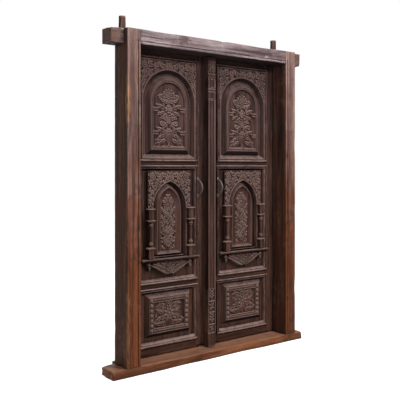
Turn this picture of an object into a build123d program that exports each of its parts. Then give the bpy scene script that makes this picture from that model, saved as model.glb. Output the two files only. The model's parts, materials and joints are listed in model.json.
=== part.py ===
# Carved double-leaf temple door in its timber frame, without the wall.
# The leaves hang on round wooden pivots cut on the ends of their hanging stiles.
# Millimetres. X runs along the wall, Y from the front to the back, Z up.
# The parts are drawn from the frame's front plane, and moved on the last line so that
# the origin is on the floor, midway between the jambs and midway in the frame's depth.
import os
from math import atan2, cos, degrees, pi, radians, sin

from build123d import *

# The frame
door_height = 2300          # floor to the top of the head
opening_width = 1358        # between the jambs
jamb_face = 104             # width of a jamb seen from the front
frame_depth = 165           # front to back of sill, jambs and head
sill_height = 60
head_height = 100
cheek_depth = 46            # jamb timber that runs up in front of the head
sill_horn_left = 108        # how far each horn passes the jamb
sill_horn_right = 79
head_horn_left = 97
head_horn_right = 101
edge_bead = 16              # bead run along the inner edges of jambs and head
quirk = 6                   # width and depth of the small groove beside a bead
rebate_depth = 18           # step in the back of the frame that the leaves shut into
rebate_rise = 45            # how far the leaves stand up behind the head
tenon_length = 38           # of a jamb tenon, at the sill and at the head
tenon_width = 52
tenon_thick = 60
tenon_set = 14              # tenon behind the cheek

# The pivots and the blocks that carry them
pivot_inset = 35            # pivot axis outside the opening's edge
pivot_radius = 26
pivot_proud = 112           # upper pivot above the head
pivot_taper = 2.5           # how much thinner the weathered tip is, in radius
pivot_fit = 0.08            # clearance of a pivot in its bore, in radius
heel_gap = 4                # between the rounded heel and the rebate
block_half = 52             # half the width of a pivot block
block_depth = 62
socket_floor = 14           # wood left under a lower pivot
peg_radius = 7
peg_length = 100
peg_inset = 12              # peg axis inside the block's end

# The leaves
shut_gap = 2                # leaf face to the rebate when shut
floor_gap = 6               # leaf above the sill
head_gap = 5                # leaf below the top of the rebate
meeting_gap = 8             # between the two leaves
leaf_thick = 50
heel_thick = 64             # the hanging stile is the heaviest timber
stile_show = 83             # hanging stile from the opening's edge to the panels
meeting_show = 100          # middle of the opening to the panels
bottom_rail = 69
lower_bay = 386             # clear heights between the rails
lock_rail = 52
middle_bay = 811
frieze_rail = 48
top_rail = 95
joint_length = 38           # tenon of a rail in its stile
joint_thick = 16            # also the thickness of the panels and of their groove
joint_set = 19              # groove behind the leaf's face
groove_deep = 10
slack = 0.3                 # play of wood in wood

# The mouldings planted round each bay
bead_lap = 12               # moulding over the stile's face
bead_wide = 14
bead_proud = 15
splay_wide = 36             # whole width of the moulding round a bay
slim_wide = 20              # the same round the arched bay

# The arched bay
arch_margin = 27            # from the side of the bay to the arch
arch_drop = 64              # crown of the arch below the top of the bay
arch_foot = 38              # arch opening above the bottom of the bay
frame_thick = 25
arch_set = 6                # leaf's face proud of the arched frame's board, negative is behind
arch_splay = 22             # how much the opening narrows to the back
band_wide = 15
band_proud = 4
foot_block = 48
foot_block_drop = 202       # top of the foot block below the top of the bay
panel_margin = 33           # arch to the raised panel inside it
raise_height = 28
raise_slope = 31
field_margin = 17
field_deep = 12
field_slope = 13

# The niche bay
niche_side = 65             # side of the bay to the block
niche_top = 28              # block below the top of the bay
niche_foot = 179            # block above the bottom of the bay
niche_thick = 32
niche_jamb = 43             # side of the block to its pointed opening
niche_rise = 1.33           # height of the point over the springing, by half its width
niche_spring = 521          # springing above the bottom of the bay
niche_sill = 25
niche_splay = 12
niche_raise = 22
niche_slope = 27
niche_gap = 5
niche_field = 28
column_in = 10              # colonnette's axis inside the side of the niche block
column_radius = 16.5
column_plate = 62
column_block = 36
column_deep = 28
column_plinth = 70
column_plate_tall = 14
column_shaft = 174
column_block_tall = 72
column_cap = 9
shelf_drop = 10             # top of the shelf below the niche block
shelf_side = 3              # side of the bay to the shelf's end
shelf_thick = 24
shelf_proud = 45
apron_side = 53             # side of the bay to the swag's end
apron_drop = 105
apron_end = 28
apron_proud = 21

# The block in the lower bay
boss_side = 48              # side of the bay to the block
boss_foot = 55              # above the bottom of the bay
boss_top = 25               # below the top of the bay
boss_raise = 30
boss_slope = 31
border = 36
boss_recess = 12

# The cover strip on the left leaf
strip_width = 66
strip_proud = 60
strip_gap = 10
strip_bead = 9
strip_inset = 3             # plain and carved lengths behind the shaft's crown
strip_foot = 99             # plain length at the foot
strip_head = 57             # plain length at the top
strip_panels = (60, 91, 80, 91)     # carved lengths above the foot, from below
strip_capital = 60          # carved length under the plain top
strip_rings = ((97, 37), (184, 16), (250, 60))     # blocks: foot below the capital's top, height

# The bow handles
grip_radius = 6.5
grip_span = 126
grip_proud = 50
grip_height = 1233
grip_spike = 4
grip_in = 42
grip_rose = 11
grip_rose_thick = 4

# Carving
relief = 7                  # how far leaves and petals stand up
cut_angle = 38              # steepest slope of their sides
leaf_width = 19
leaf_lean = 30              # leaves of a spray stand off its stem by this angle
petal_width = 0.62          # share of the circle that the petals fill

opening_half = opening_width / 2
jamb_outer = opening_half + jamb_face
head_z = door_height - head_height
hinge_x = -(opening_half + pivot_inset)
leaf_face = frame_depth - rebate_depth + shut_gap
hinge_y = leaf_face + heel_thick / 2
leaf_back = leaf_face + leaf_thick
tenon_y = cheek_depth + tenon_set
heel_radius = heel_thick / 2
rebate_edge = opening_half + pivot_inset + heel_radius + heel_gap
leaf_foot = sill_height + floor_gap
leaf_head = head_z + rebate_rise - head_gap
bay_left = hinge_x + pivot_inset + stile_show
bay_right = -meeting_show
bay_x = (bay_left + bay_right) / 2
bay_half = (bay_right - bay_left) / 2
lower_z = leaf_foot + bottom_rail
lock_z = lower_z + lower_bay
middle_z = lock_z + lock_rail
frieze_z = middle_z + middle_bay
upper_z = frieze_z + frieze_rail
upper_top = leaf_head - top_rail
strip_half = strip_width / 2
ground = leaf_face + joint_set      # front face of the thin panel boards
joint_back = ground + joint_thick
arch_half = bay_half - arch_margin
arch_spring = upper_top - arch_drop - arch_half
board_front = leaf_face - arch_set
niche_half = bay_half - niche_side
niche_arch = niche_half - niche_jamb
niche_peak = niche_rise * niche_arch
niche_low = middle_z + niche_foot
niche_high = middle_z + middle_bay - niche_top
niche_front = ground - niche_thick
shelf_top = niche_low - shelf_drop
strip_front = leaf_face - strip_proud
strip_top = head_z - strip_gap
strip_crown = strip_top - strip_head    # top of the capital
grip_x = bay_right + bead_lap - bead_wide / 2


def block(x0, x1, y0, y1, z0, z1):
    """A squared timber between six planes."""
    size = Box(abs(x1 - x0), abs(y1 - y0), abs(z1 - z0))
    return Pos((x0 + x1) / 2, (y0 + y1) / 2, (z0 + z1) / 2) * size


def rod(x, y, z0, z1, radius):
    """An upright round."""
    return Pos(x, y, (z0 + z1) / 2) * Cylinder(radius, abs(z1 - z0))


def face_on(x, y, z):
    """A drawing plane that looks out of the front of the door."""
    return Plane(origin=(x, y, z), x_dir=(1, 0, 0), z_dir=(0, -1, 0))


def mirrored(shape):
    return mirror(shape, about=Plane.YZ)


def round_arch(half, foot, spring):
    """A round-headed outline: straight sides up to the springing, then a half circle."""
    with BuildSketch() as outline:
        with BuildLine():
            Polyline((-half, spring), (-half, foot), (half, foot), (half, spring))
            ThreePointArc((half, spring), (0, spring + half), (-half, spring))
        make_face()
    return outline.sketch


def pointed_arch(half, foot, spring, rise):
    """A pointed outline whose two arcs leave the sides upright."""
    radius = (rise * rise + half * half) / (2 * half)
    turn = atan2(rise, radius - half) / 2
    side = (radius - half) - radius * cos(turn)
    lift = radius * sin(turn)
    with BuildSketch() as outline:
        with BuildLine():
            Polyline((-half, spring), (-half, foot), (half, foot), (half, spring))
            ThreePointArc((half, spring), (-side, spring + lift), (0, spring + rise))
            ThreePointArc((0, spring + rise), (side, spring + lift), (-half, spring))
        make_face()
    return outline.sketch


def raised(x, y, outline, height, inset):
    """An outline drawn on the plane y, raised to the front with sloping sides."""
    return extrude(face_on(x, y, 0) * outline, amount=height, taper=degrees(atan2(inset, height)))


def sunk(x, y, outline, depth, inset):
    """The cutter for a recess whose sides slope in from the front plane y."""
    drawn = Plane(origin=(x, y, 0), x_dir=(1, 0, 0), z_dir=(0, -1, 0)) * outline
    return extrude(drawn, amount=-depth, taper=-degrees(atan2(inset, depth)))


def leaf_cut(x, y, z, length, width, angle):
    """One carved leaf or petal: a pointed lozenge with bevelled sides."""
    belly = length * 0.38
    shape = Polygon((0, 0), (belly, -width / 2), (length, 0), (belly, width / 2), align=None)
    spot = face_on(x, y, z) * Rot(0, 0, angle)
    return extrude(spot * shape, amount=relief, taper=min(cut_angle, degrees(atan2(width * 0.3, relief))))


def flower(x, y, z, radius, petals, turn=0):
    """A round flower: petals about a faceted button."""
    step = 360 / petals
    width = 2 * pi * radius * petal_width / petals
    start = radius * 0.22
    parts = []
    for number in range(petals):
        angle = turn + number * step
        dx = start * cos(radians(angle))
        dz = start * sin(radians(angle))
        parts.append(leaf_cut(x + dx, y, z + dz, radius - start, width, angle))
    button = face_on(x, y, z) * RegularPolygon(radius * 0.3, 6)
    parts.append(extrude(button, amount=relief + 2, taper=cut_angle / 2))
    return parts


def spray(x, y, z, heading, pairs, pitch, length):
    """A straight stem's leaves: pairs that lean off it to both sides and shrink to the tip."""
    parts = []
    for number in range(pairs):
        along = pitch * number
        px = x + along * cos(radians(heading))
        pz = z + along * sin(radians(heading))
        size = length * (1 - 0.3 * number / pairs)
        for side in (-1, 1):
            parts.append(leaf_cut(px, y, pz, size, leaf_width, heading + side * leaf_lean))
    return parts


def turned(side, angle):
    """An angle drawn for the right-hand side, or its mirror image on the left."""
    return angle if side > 0 else 180 - angle


def carve(board, parts):
    """Join carved parts to the board they are cut from."""
    return board.fuse(*parts)


def moulding(z0, z1, wide, full):
    """A mitred moulding round a bay: bead, quirk, fillet and, where full, a splay to the panel."""
    outer = bay_half + bead_lap
    back = ground - 0.5
    front = leaf_face - bead_proud
    low = z0 - bead_lap
    corner = bead_wide / 3
    step = bead_wide + quirk
    lap = bead_lap + slack
    face = leaf_face - 0.1
    points = [(face, 0), (front + corner, 0), (front, corner), (front, bead_wide - corner)]
    points += [(front + corner, bead_wide), (face - 2, bead_wide + quirk / 2), (face - 8, step)]
    if full:
        points += [(face - 6, step + 4), (back - 3, wide), (back, wide), (back, lap), (face, lap)]
    else:
        points += [(back, step), (back, lap), (face, lap)]
    profile = Face(Wire.make_polygon([Vector(0, y, low + w) for y, w in points], close=True))
    high = z1 + bead_lap
    path = Wire.make_polygon([Vector(0, leaf_face, low), Vector(-outer, leaf_face, low),
                              Vector(-outer, leaf_face, high), Vector(outer, leaf_face, high),
                              Vector(outer, leaf_face, low)], close=True)
    ring = sweep(profile, path=path, transition=Transition.RIGHT)
    return Pos(bay_x, 0, 0) * ring - spike_holes()


def jamb():
    """The left jamb, with its cheek in front of the head and its tenons."""
    body = block(-jamb_outer, -opening_half, 0, frame_depth, sill_height, door_height)
    body -= block(-jamb_outer, -opening_half, cheek_depth, frame_depth, head_z, door_height)
    body -= block(-rebate_edge, -opening_half, frame_depth - rebate_depth, frame_depth, sill_height, head_z)
    groove_x = opening_half + edge_bead
    body -= block(-groove_x - quirk, -groove_x, 0, quirk, sill_height, head_z + edge_bead + quirk)
    middle = -(opening_half + jamb_face / 2)
    for low, high in ((sill_height - tenon_length, sill_height), (head_z, head_z + tenon_length)):
        body += block(middle - tenon_width / 2, middle + tenon_width / 2,
                      tenon_y, tenon_y + tenon_thick, low, high)
    return body


def mortise(sign, low, high):
    """The hole for a jamb's tenon, a little larger than the tenon."""
    middle = sign * (opening_half + jamb_face / 2)
    reach = tenon_width / 2 + slack
    return block(middle - reach, middle + reach, tenon_y - slack, tenon_y + tenon_thick + slack, low, high)


def sill():
    body = block(-jamb_outer - sill_horn_left, jamb_outer + sill_horn_right, 0, frame_depth, 0, sill_height)
    for sign in (-1, 1):
        body -= mortise(sign, sill_height - tenon_length - slack, sill_height)
        body -= rod(sign * hinge_x, hinge_y, socket_floor, sill_height, pivot_radius + pivot_fit)
        body -= peg_holes(sign, sill_height / 2)
    return body


def head():
    """The head runs through behind the jambs' cheeks and fills the gap between them in front."""
    body = block(-jamb_outer - head_horn_left, jamb_outer + head_horn_right, cheek_depth, frame_depth,
                 head_z, door_height)
    body += block(-opening_half, opening_half, 0, cheek_depth, head_z, door_height)
    rebate_y = frame_depth - rebate_depth
    body -= block(-rebate_edge, rebate_edge, rebate_y, frame_depth, head_z, head_z + rebate_rise)
    groove_z = head_z + edge_bead
    body -= block(-opening_half, opening_half, 0, quirk, groove_z, groove_z + quirk)
    for sign in (-1, 1):
        body -= mortise(sign, head_z, head_z + tenon_length + slack)
        body -= rod(sign * hinge_x, hinge_y, head_z, door_height, pivot_radius + pivot_fit)
        body -= peg_holes(sign, (head_z + rebate_rise + door_height) / 2)
    return body


def peg_spots(sign):
    return [sign * hinge_x + side * (block_half - peg_inset) for side in (-1, 1)]


def peg(x, z, radius, length):
    back = frame_depth + block_depth
    return Pos(x, back - length / 2, z) * Rot(90, 0, 0) * Cylinder(radius, length)


def peg_holes(sign, z):
    return Compound([peg(x, z, peg_radius, peg_length) for x in peg_spots(sign)])


def pivot_block(z0, z1, blind):
    """A bored block on the back of the frame, left-hand side."""
    body = block(hinge_x - block_half, hinge_x + block_half, frame_depth, frame_depth + block_depth, z0, z1)
    body -= rod(hinge_x, hinge_y, z0 + blind, z1, pivot_radius + pivot_fit)
    body -= peg_holes(1, (z0 + z1) / 2)
    return body


def rail_tenon(x, side, z0, z1):
    """The tenon on a rail's end at x, pointing to side, set back from the rail's edges."""
    inset = groove_deep
    return block(x, x + side * joint_length, ground, joint_back, z0 + inset, z1 - inset)


def rail(z0, z1):
    body = block(bay_left, bay_right, leaf_face, leaf_back, z0, z1)
    body += rail_tenon(bay_left, -1, z0, z1)
    body += rail_tenon(bay_right, 1, z0, z1)
    if z0 > leaf_foot:
        body -= block(bay_left, bay_right, ground, joint_back, z0, z0 + groove_deep)
    if z1 < leaf_head:
        body -= block(bay_left, bay_right, ground, joint_back, z1 - groove_deep, z1)
    return body - spike_holes()


rail_spans = {
    "bottom_rail": (leaf_foot, lower_z),
    "lock_rail": (lock_z, middle_z),
    "frieze_rail": (frieze_z, upper_z),
    "top_rail": (upper_top, leaf_head),
}
bay_spans = ((lower_z, lock_z), (middle_z, frieze_z), (upper_z, upper_top))


def stile_cuts(edge, side):
    """Mortises and panel grooves in the stile beside the bays; side points into the stile."""
    cuts = []
    for z0, z1 in rail_spans.values():
        deep = joint_length + slack
        cuts.append(block(edge, edge + side * deep, ground, joint_back, z0 + groove_deep, z1 - groove_deep))
    for z0, z1 in bay_spans:
        low = z0 - groove_deep
        high = z1 + groove_deep
        cuts.append(block(edge, edge + side * groove_deep, ground, joint_back, low, high))
    return Compound(cuts)


def hanging_stile():
    """The stile with the rounded heel and the two pivots, worked from one timber."""
    body = block(hinge_x, bay_left, leaf_face, leaf_face + heel_thick, leaf_foot, leaf_head)
    body += rod(hinge_x, hinge_y, leaf_foot, leaf_head, heel_radius)
    body += rod(hinge_x, hinge_y, socket_floor + slack, leaf_foot, pivot_radius)
    body += rod(hinge_x, hinge_y, leaf_head, door_height, pivot_radius)
    tip = Cone(pivot_radius, pivot_radius - pivot_taper, pivot_proud)
    body += Pos(hinge_x, hinge_y, door_height + pivot_proud / 2) * tip
    return body - stile_cuts(bay_left, -1)


def meeting_stile(free_edge, reeds):
    """The stile at the middle; reeds are the places of its upright grooves."""
    body = block(bay_right, free_edge, leaf_face, leaf_back, leaf_foot, leaf_head)
    for x in reeds:
        groove = Pos(x, leaf_face, (leaf_foot + leaf_head) / 2) * Rot(0, 0, 45)
        body -= groove * Box(quirk, quirk, leaf_head - leaf_foot)
    return body - stile_cuts(bay_right, 1) - spike_holes()


def thin_board(z0, z1):
    """A panel board held in the grooves of stiles and rails."""
    reach = bay_half + groove_deep - slack
    low = z0 - groove_deep + slack
    high = z1 + groove_deep - slack
    board = block(bay_x - reach, bay_x + reach, ground, joint_back - slack, low, high)
    return board - spike_holes()


def arch_panel():
    """The raised round-headed panel with its sunk field and the bouquet in it."""
    raise_half = arch_half - panel_margin
    foot = upper_z + arch_foot + arch_splay
    crest = raise_half - raise_slope
    inner = crest - field_margin
    front = ground - raise_height
    body = thin_board(upper_z, upper_top)
    body += raised(bay_x, ground, round_arch(raise_half, foot, arch_spring), raise_height, raise_slope)
    field_foot = foot + raise_slope + field_margin
    body -= sunk(bay_x, front, round_arch(inner, field_foot, arch_spring), field_deep, field_slope)
    return carve(body, bouquet(front + field_deep, field_foot + field_slope))


def bouquet(y, foot):
    """A pot at the bottom, a stem of flowers and leaves, and a fan of leaves under the arch."""
    top = arch_spring + 8
    stem = top - foot
    parts = []
    pot = Polygon((-26, 0), (26, 0), (16, 6), (24, 44), (34, 52), (-34, 52), (-24, 44), (-16, 6), align=None)
    parts.append(extrude(face_on(bay_x, y, foot + 4) * pot, amount=relief + 1, taper=12))
    parts += flower(bay_x, y, foot + stem * 0.30, 27, 8)
    parts += flower(bay_x, y, foot + stem * 0.74, 27, 8, 22.5)
    for side in (-1, 1):
        x = bay_x + side * 8
        for level, heading in ((0.16, 24), (0.41, 18), (0.56, 40), (0.62, -8), (0.86, 8)):
            parts += spray(x, y, foot + stem * level, turned(side, heading), 3, 34, 36)
        parts.append(leaf_cut(bay_x + side * 110, y, foot + 4, 66, 30, turned(side, 62)))
    for number in range(-3, 4):
        length = 76 - 5 * abs(number)
        parts.append(leaf_cut(bay_x, y, top + 4, length, 23, 90 + number * 24))
    return parts


def arch_frame():
    """The board round the arch: splayed opening, band, foot blocks and carved corners."""
    reach = bay_half + bead_lap - slim_wide - slack
    front = board_front
    lip = slim_wide - bead_lap + slack
    body = block(bay_x - reach, bay_x + reach, front, front + frame_thick, upper_z + lip, upper_top - lip)
    opening = round_arch(arch_half, upper_z + arch_foot, arch_spring)
    body -= sunk(bay_x, front, opening, frame_thick, arch_splay)
    band = Circle(arch_half + band_wide) - Circle(arch_half)
    band -= Pos(0, -arch_half) * Rectangle(3 * arch_half, 2 * arch_half)
    body += extrude(face_on(bay_x, front, arch_spring) * band, amount=band_proud)
    block_top = upper_top - foot_block_drop
    for side in (-1, 1):
        near = bay_x + side * (arch_half + 2)
        far = bay_x + side * (reach - 2)
        body += block(near, far, front - band_proud - 2, front, block_top - foot_block, block_top)
        reed = bay_x + side * (arch_half + reach) / 2
        body -= block(reed - 2, reed + 2, front, front + 4, upper_z + 16, block_top - foot_block - 8)
    return carve(body, arch_corners(front))


def arch_corners(y):
    """A flower in each corner over the arch with sprays along both edges, and a palmette at the crown."""
    parts = []
    reach = bay_half - 14
    top = upper_top - 14
    for side in (-1, 1):
        x = bay_x + side * (reach - 36)
        z = top - 42
        parts += flower(x, y, z, 30, 7, 15)
        parts += spray(x - side * 40, y, z + 16, turned(side, 178), 4, 34, 34)
        parts += spray(x + side * 16, y, z - 38, turned(side, 271), 4, 36, 34)
        parts += spray(x - side * 24, y, z - 22, turned(side, 222), 1, 34, 34)
    for number in (-1, 0, 1):
        parts.append(leaf_cut(bay_x, y, top - 24, 27, 13, 90 + number * 62))
    return parts


def niche_surround():
    """The block with the pointed opening and foliage over it."""
    foot = niche_low + niche_sill
    spring = middle_z + niche_spring
    body = block(bay_x - niche_half, bay_x + niche_half, niche_front, ground, niche_low, niche_high)
    opening = pointed_arch(niche_arch, foot, spring, niche_peak)
    body -= sunk(bay_x, niche_front, opening, niche_thick, niche_splay)
    return carve(body, niche_corners(niche_front, spring + niche_peak))


def niche_corners(y, crown):
    """Foliage between the point of the arch and the corners of the block."""
    parts = []
    for side in (-1, 1):
        x = bay_x + side * (niche_half - 46)
        z = niche_high - 48
        parts += flower(x, y, z, 31, 8)
        parts += spray(x - side * 38, y, z + 14, turned(side, 176), 3, 34, 34)
        parts += spray(x + side * 20, y, z - 38, turned(side, 268), 4, 36, 34)
        parts += spray(x - side * 10, y, z - 40, turned(side, 246), 2, 32, 32)
    for number in (-1, 0, 1):
        parts.append(leaf_cut(bay_x, y, crown + 14, 46, 17, 90 + number * 50))
    return parts


def niche_panel():
    """The raised pointed panel in the niche, with a carved field."""
    foot = niche_low + niche_sill + niche_splay
    spring = middle_z + niche_spring
    half = niche_arch - niche_splay - niche_gap
    rise = niche_rise * half
    front = ground - niche_raise
    body = raised(bay_x, ground, pointed_arch(half, foot, spring, rise), niche_raise, niche_slope)
    crest = half - niche_slope
    inner = crest - niche_field
    field_foot = foot + niche_slope + 12
    field_rise = rise * inner / half
    field = pointed_arch(inner, field_foot, spring, field_rise)
    body -= sunk(bay_x, front, field, field_deep / 2, 3)
    return carve(body, niche_vine(front + field_deep / 2, inner, field_foot, spring + field_rise))


def niche_vine(y, half, foot, crown):
    """A climbing vine: flowers on the stem with a pair of leaves between each."""
    parts = []
    count = 4
    pitch = (crown - foot) / (count + 0.5)
    for number in range(count):
        z = foot + pitch * (number + 0.62)
        parts += flower(bay_x, y, z, half * 0.42, 6, 30)
        for side in (-1, 1):
            for lift, lean, size in ((0.18, 42, 0.8), (-0.42, -30, 0.62)):
                x = bay_x + side * half * 0.32
                parts.append(leaf_cut(x, y, z + pitch * lift, half * size, 17, turned(side, lean)))
    parts.append(leaf_cut(bay_x, y, crown - pitch * 0.75, pitch * 0.55, 20, 90))
    return parts


def column(x):
    """A turned colonnette between square plates, standing on the shelf against the niche block."""
    axis_y = niche_front - column_radius - slack
    plinth = shelf_top
    plate = plinth + column_plinth
    shaft = plate + column_plate_tall
    neck = shaft + column_shaft
    block_low = neck + column_plate_tall
    block_high = block_low + column_block_tall
    cap = block_high + column_cap
    half = column_block / 2
    wide = column_plate / 2
    back = niche_front
    front = back - column_deep
    body = block(x - half, x + half, front, back, plinth, plate)
    body += block(x - half, x + half, front, back, block_low, block_high)
    for low, high in ((plate, shaft), (neck, block_low), (block_high, cap)):
        body += block(x - wide, x + wide, front - 5, back, low, high)
    r = column_radius
    outline = Polyline((0, shaft), (r - 3, shaft), (r - 3, shaft + 16), (r, shaft + 19), (r, shaft + 25),
                       (r - 4, shaft + 28), (r - 5, neck - 32), (r, neck - 28), (r, neck - 20),
                       (r - 4, neck - 16), (r - 3, neck), (0, neck))
    turning = make_face(outline + Line((0, neck), (0, shaft)))
    body += Pos(x, axis_y, 0) * revolve(Plane.XZ * turning, Axis.Z)
    return body


def shelf():
    """The shelf under the niche, moulded below and notched back over the bay moulding."""
    top = shelf_top
    shelf_half = bay_half - shelf_side
    inner = bay_half + bead_lap - splay_wide - 1
    front = leaf_face - shelf_proud
    bead = leaf_face - bead_proud - 1
    nose = shelf_thick / 2
    outline = Polyline((front, top), (front, top - nose), (front + 8, top - nose - 3),
                       (bead - 6, top - shelf_thick), (bead, top - shelf_thick), (bead, top), (front, top))
    nosing = extrude(Plane.YZ * make_face(outline), amount=shelf_half, both=True)
    body = Pos(bay_x, 0, 0) * nosing
    body += block(bay_x - inner, bay_x + inner, bead, ground, top - shelf_thick, top)
    return body


def apron():
    """The carved swag that hangs under the shelf."""
    top = shelf_top - shelf_thick
    front = leaf_face - apron_proud
    low = top - apron_drop
    end = top - apron_end
    half = bay_half - apron_side
    with BuildSketch() as outline:
        with BuildLine():
            Polyline((-half, end), (-half, top), (half, top), (half, end))
            ThreePointArc((half, end), (half * 0.55, low + apron_drop * 0.36), (half * 0.16, low + 8))
            ThreePointArc((half * 0.16, low + 8), (0, low), (-half * 0.16, low + 8))
            ThreePointArc((-half * 0.16, low + 8), (-half * 0.55, low + apron_drop * 0.36), (-half, end))
        make_face()
    body = extrude(face_on(bay_x, ground, 0) * outline.sketch, amount=ground - front)
    parts = flower(bay_x, front, top - apron_drop * 0.46, 27, 8)
    for side in (-1, 1):
        parts += spray(bay_x + side * 32, front, top - 44, turned(side, 12), 4, 36, 33)
        parts.append(leaf_cut(bay_x + side * 16, front, top - 84, 44, leaf_width, turned(side, 34)))
        parts.append(leaf_cut(bay_x + side * 54, front, top - 70, 40, leaf_width, turned(side, 22)))
    return carve(body, parts)


def base_block():
    """The raised square block of the lower bay: petal border, sunk field, flower and corners."""
    low = lower_z + boss_foot
    high = lock_z - boss_top
    middle = (low + high) / 2
    tall = (high - low) / 2
    front = ground - boss_raise
    boss_half = bay_half - boss_side
    outline = Pos(0, middle) * Rectangle(2 * boss_half, 2 * tall)
    body = raised(bay_x, ground, outline, boss_raise, boss_slope)
    field_half = boss_half - boss_slope - border
    field_tall = tall - boss_slope - border
    field = Pos(0, middle) * Rectangle(2 * field_half, 2 * field_tall)
    body -= sunk(bay_x, front, field, boss_recess, 4)
    parts = petal_border(front, middle, field_half, field_tall)
    floor = front + boss_recess
    parts += flower(bay_x, floor, middle, 52, 8)
    for side in (-1, 1):
        x = bay_x + side * field_half * 0.42
        for lift in (-1, 1):
            z = middle + lift * field_tall * 0.5
            parts.append(leaf_cut(x, floor, z, field_half * 0.44, 26, turned(side, 45 * lift)))
            parts.append(leaf_cut(x + side * 26, floor, z - lift * 18, 34, 18, turned(side, 14 * lift)))
        parts.append(leaf_cut(x, floor, middle, field_half * 0.46, 24, turned(side, 0)))
    return carve(body, parts)


def petal_border(y, middle, field_half, field_tall):
    """A row of small upright petals round the block, as many as each side takes."""
    parts = []
    pitch = 34
    length = border * 0.78
    across = int((2 * field_half + border) / pitch)
    upright = int((2 * field_tall + border) / pitch)
    for number in range(across):
        x = bay_x + (number - (across - 1) / 2) * pitch
        for lift in (-1, 1):
            z = middle + lift * (field_tall + border * 0.1)
            parts.append(leaf_cut(x, y, z, length, pitch * 0.72, 90 * lift))
    for number in range(upright):
        z = middle + (number - (upright - 1) / 2) * pitch
        for side in (-1, 1):
            x = bay_x + side * (field_half + border * 0.1)
            parts.append(leaf_cut(x, y, z, length, pitch * 0.72, 0 if side > 0 else 180))
    return parts


def cover_strip():
    """The strip that dresses the meeting stile: reeded shaft, capital and carved foot."""
    front = strip_front
    half = strip_half
    bead = half - strip_bead
    round_edge = bead - 3
    with BuildSketch() as section:
        with BuildLine():
            Polyline((-half, leaf_face), (-half, front + 6), (-half + 4, front + 2), (-bead, front + 6),
                     (-round_edge, front + 12))
            ThreePointArc((-round_edge, front + 12), (0, front), (round_edge, front + 12))
            Polyline((round_edge, front + 12), (bead, front + 6), (half - 4, front + 2),
                     (half, front + 6), (half, leaf_face), (-half, leaf_face))
        make_face()
    body = Pos(0, 0, leaf_foot) * extrude(section.sketch, amount=strip_top - leaf_foot)
    face = front + strip_inset
    panels = strip_panel_spans()
    for z0, z1 in ((leaf_foot, leaf_foot + strip_foot), (strip_crown, strip_top)):
        body += block(-half, half, face, leaf_face, z0, z1)
    for z0, z1 in panels:
        body += block(-half, half, face, leaf_face, z0 + 2, z1 - 8)
    for drop, tall in strip_rings:
        low = strip_crown - drop
        body += block(-half, half, face - 1, leaf_face, low, low + tall)
    return carve(body, strip_carving(face, panels))


def strip_panel_spans():
    """Foot and top of each carved length above the strip's plain foot."""
    spans = []
    low = leaf_foot + strip_foot
    for tall in strip_panels:
        spans.append((low, low + tall))
        low += tall
    return spans


def strip_carving(y, panels):
    """Crossed leaves on each carved length, and a spread of leaves on the capital."""
    parts = []
    for z0, z1 in panels:
        middle = (z0 + z1 - 6) / 2
        reach = (z1 - z0) * 0.36
        for number in range(4):
            parts.append(leaf_cut(0, y, middle, reach, 15, 45 + 90 * number))
    for number in (-2, -1, 0, 1, 2):
        parts.append(leaf_cut(0, y + 6, strip_crown - strip_capital + 8, 46, 14, 90 + number * 17))
    return parts


def handle():
    """A forged bow with a rose and a spike at each end, driven through moulding and stile."""
    x = grip_x
    seat = leaf_face - bead_proud
    start = seat - grip_rose_thick
    low = grip_height - grip_span / 2
    high = grip_height + grip_span / 2
    path = ThreePointArc((x, start, low), (x, seat - grip_proud, grip_height), (x, start, high))
    end = Plane(origin=path @ 0, z_dir=path % 0)
    body = sweep(end * Circle(grip_radius), path=path)
    length = grip_in + grip_rose_thick
    for z in (low, high):
        body += Pos(x, start + grip_rose_thick / 2, z) * Rot(90, 0, 0) * Cylinder(grip_rose, grip_rose_thick)
        body += Pos(x, start + length / 2, z) * Rot(90, 0, 0) * Cylinder(grip_spike, length)
    return body


def spike_holes():
    """Holes for the handle's spikes, cut from every piece that a spike can reach."""
    seat = leaf_face - bead_proud
    length = grip_in + slack
    holes = []
    for z in (grip_height - grip_span / 2, grip_height + grip_span / 2):
        spot = Pos(grip_x, seat + length / 2, z) * Rot(90, 0, 0)
        holes.append(spot * Cylinder(grip_spike + slack / 3, length))
    return Compound(holes)


def leaf_pieces():
    """Every piece of the left leaf that the right leaf has as its mirror image."""
    pieces = {"hanging_stile": hanging_stile()}
    for name, span in rail_spans.items():
        pieces[name] = rail(*span)
    pieces["upper_moulding"] = moulding(upper_z, upper_top, slim_wide, False)
    pieces["middle_moulding"] = moulding(middle_z, frieze_z, splay_wide, True)
    pieces["lower_moulding"] = moulding(lower_z, lock_z, splay_wide, True)
    pieces["arch_panel"] = arch_panel()
    pieces["arch_frame"] = arch_frame()
    pieces["niche_board"] = thin_board(middle_z, frieze_z)
    pieces["niche_surround"] = niche_surround()
    pieces["niche_panel"] = niche_panel()
    pieces["outer_colonnette"] = column(bay_x - niche_half + column_in)
    pieces["inner_colonnette"] = column(bay_x + niche_half - column_in)
    pieces["shelf"] = shelf()
    pieces["apron"] = apron()
    pieces["base_board"] = thin_board(lower_z, lock_z)
    pieces["base_block"] = base_block()
    pieces["handle"] = handle()
    return pieces


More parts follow.
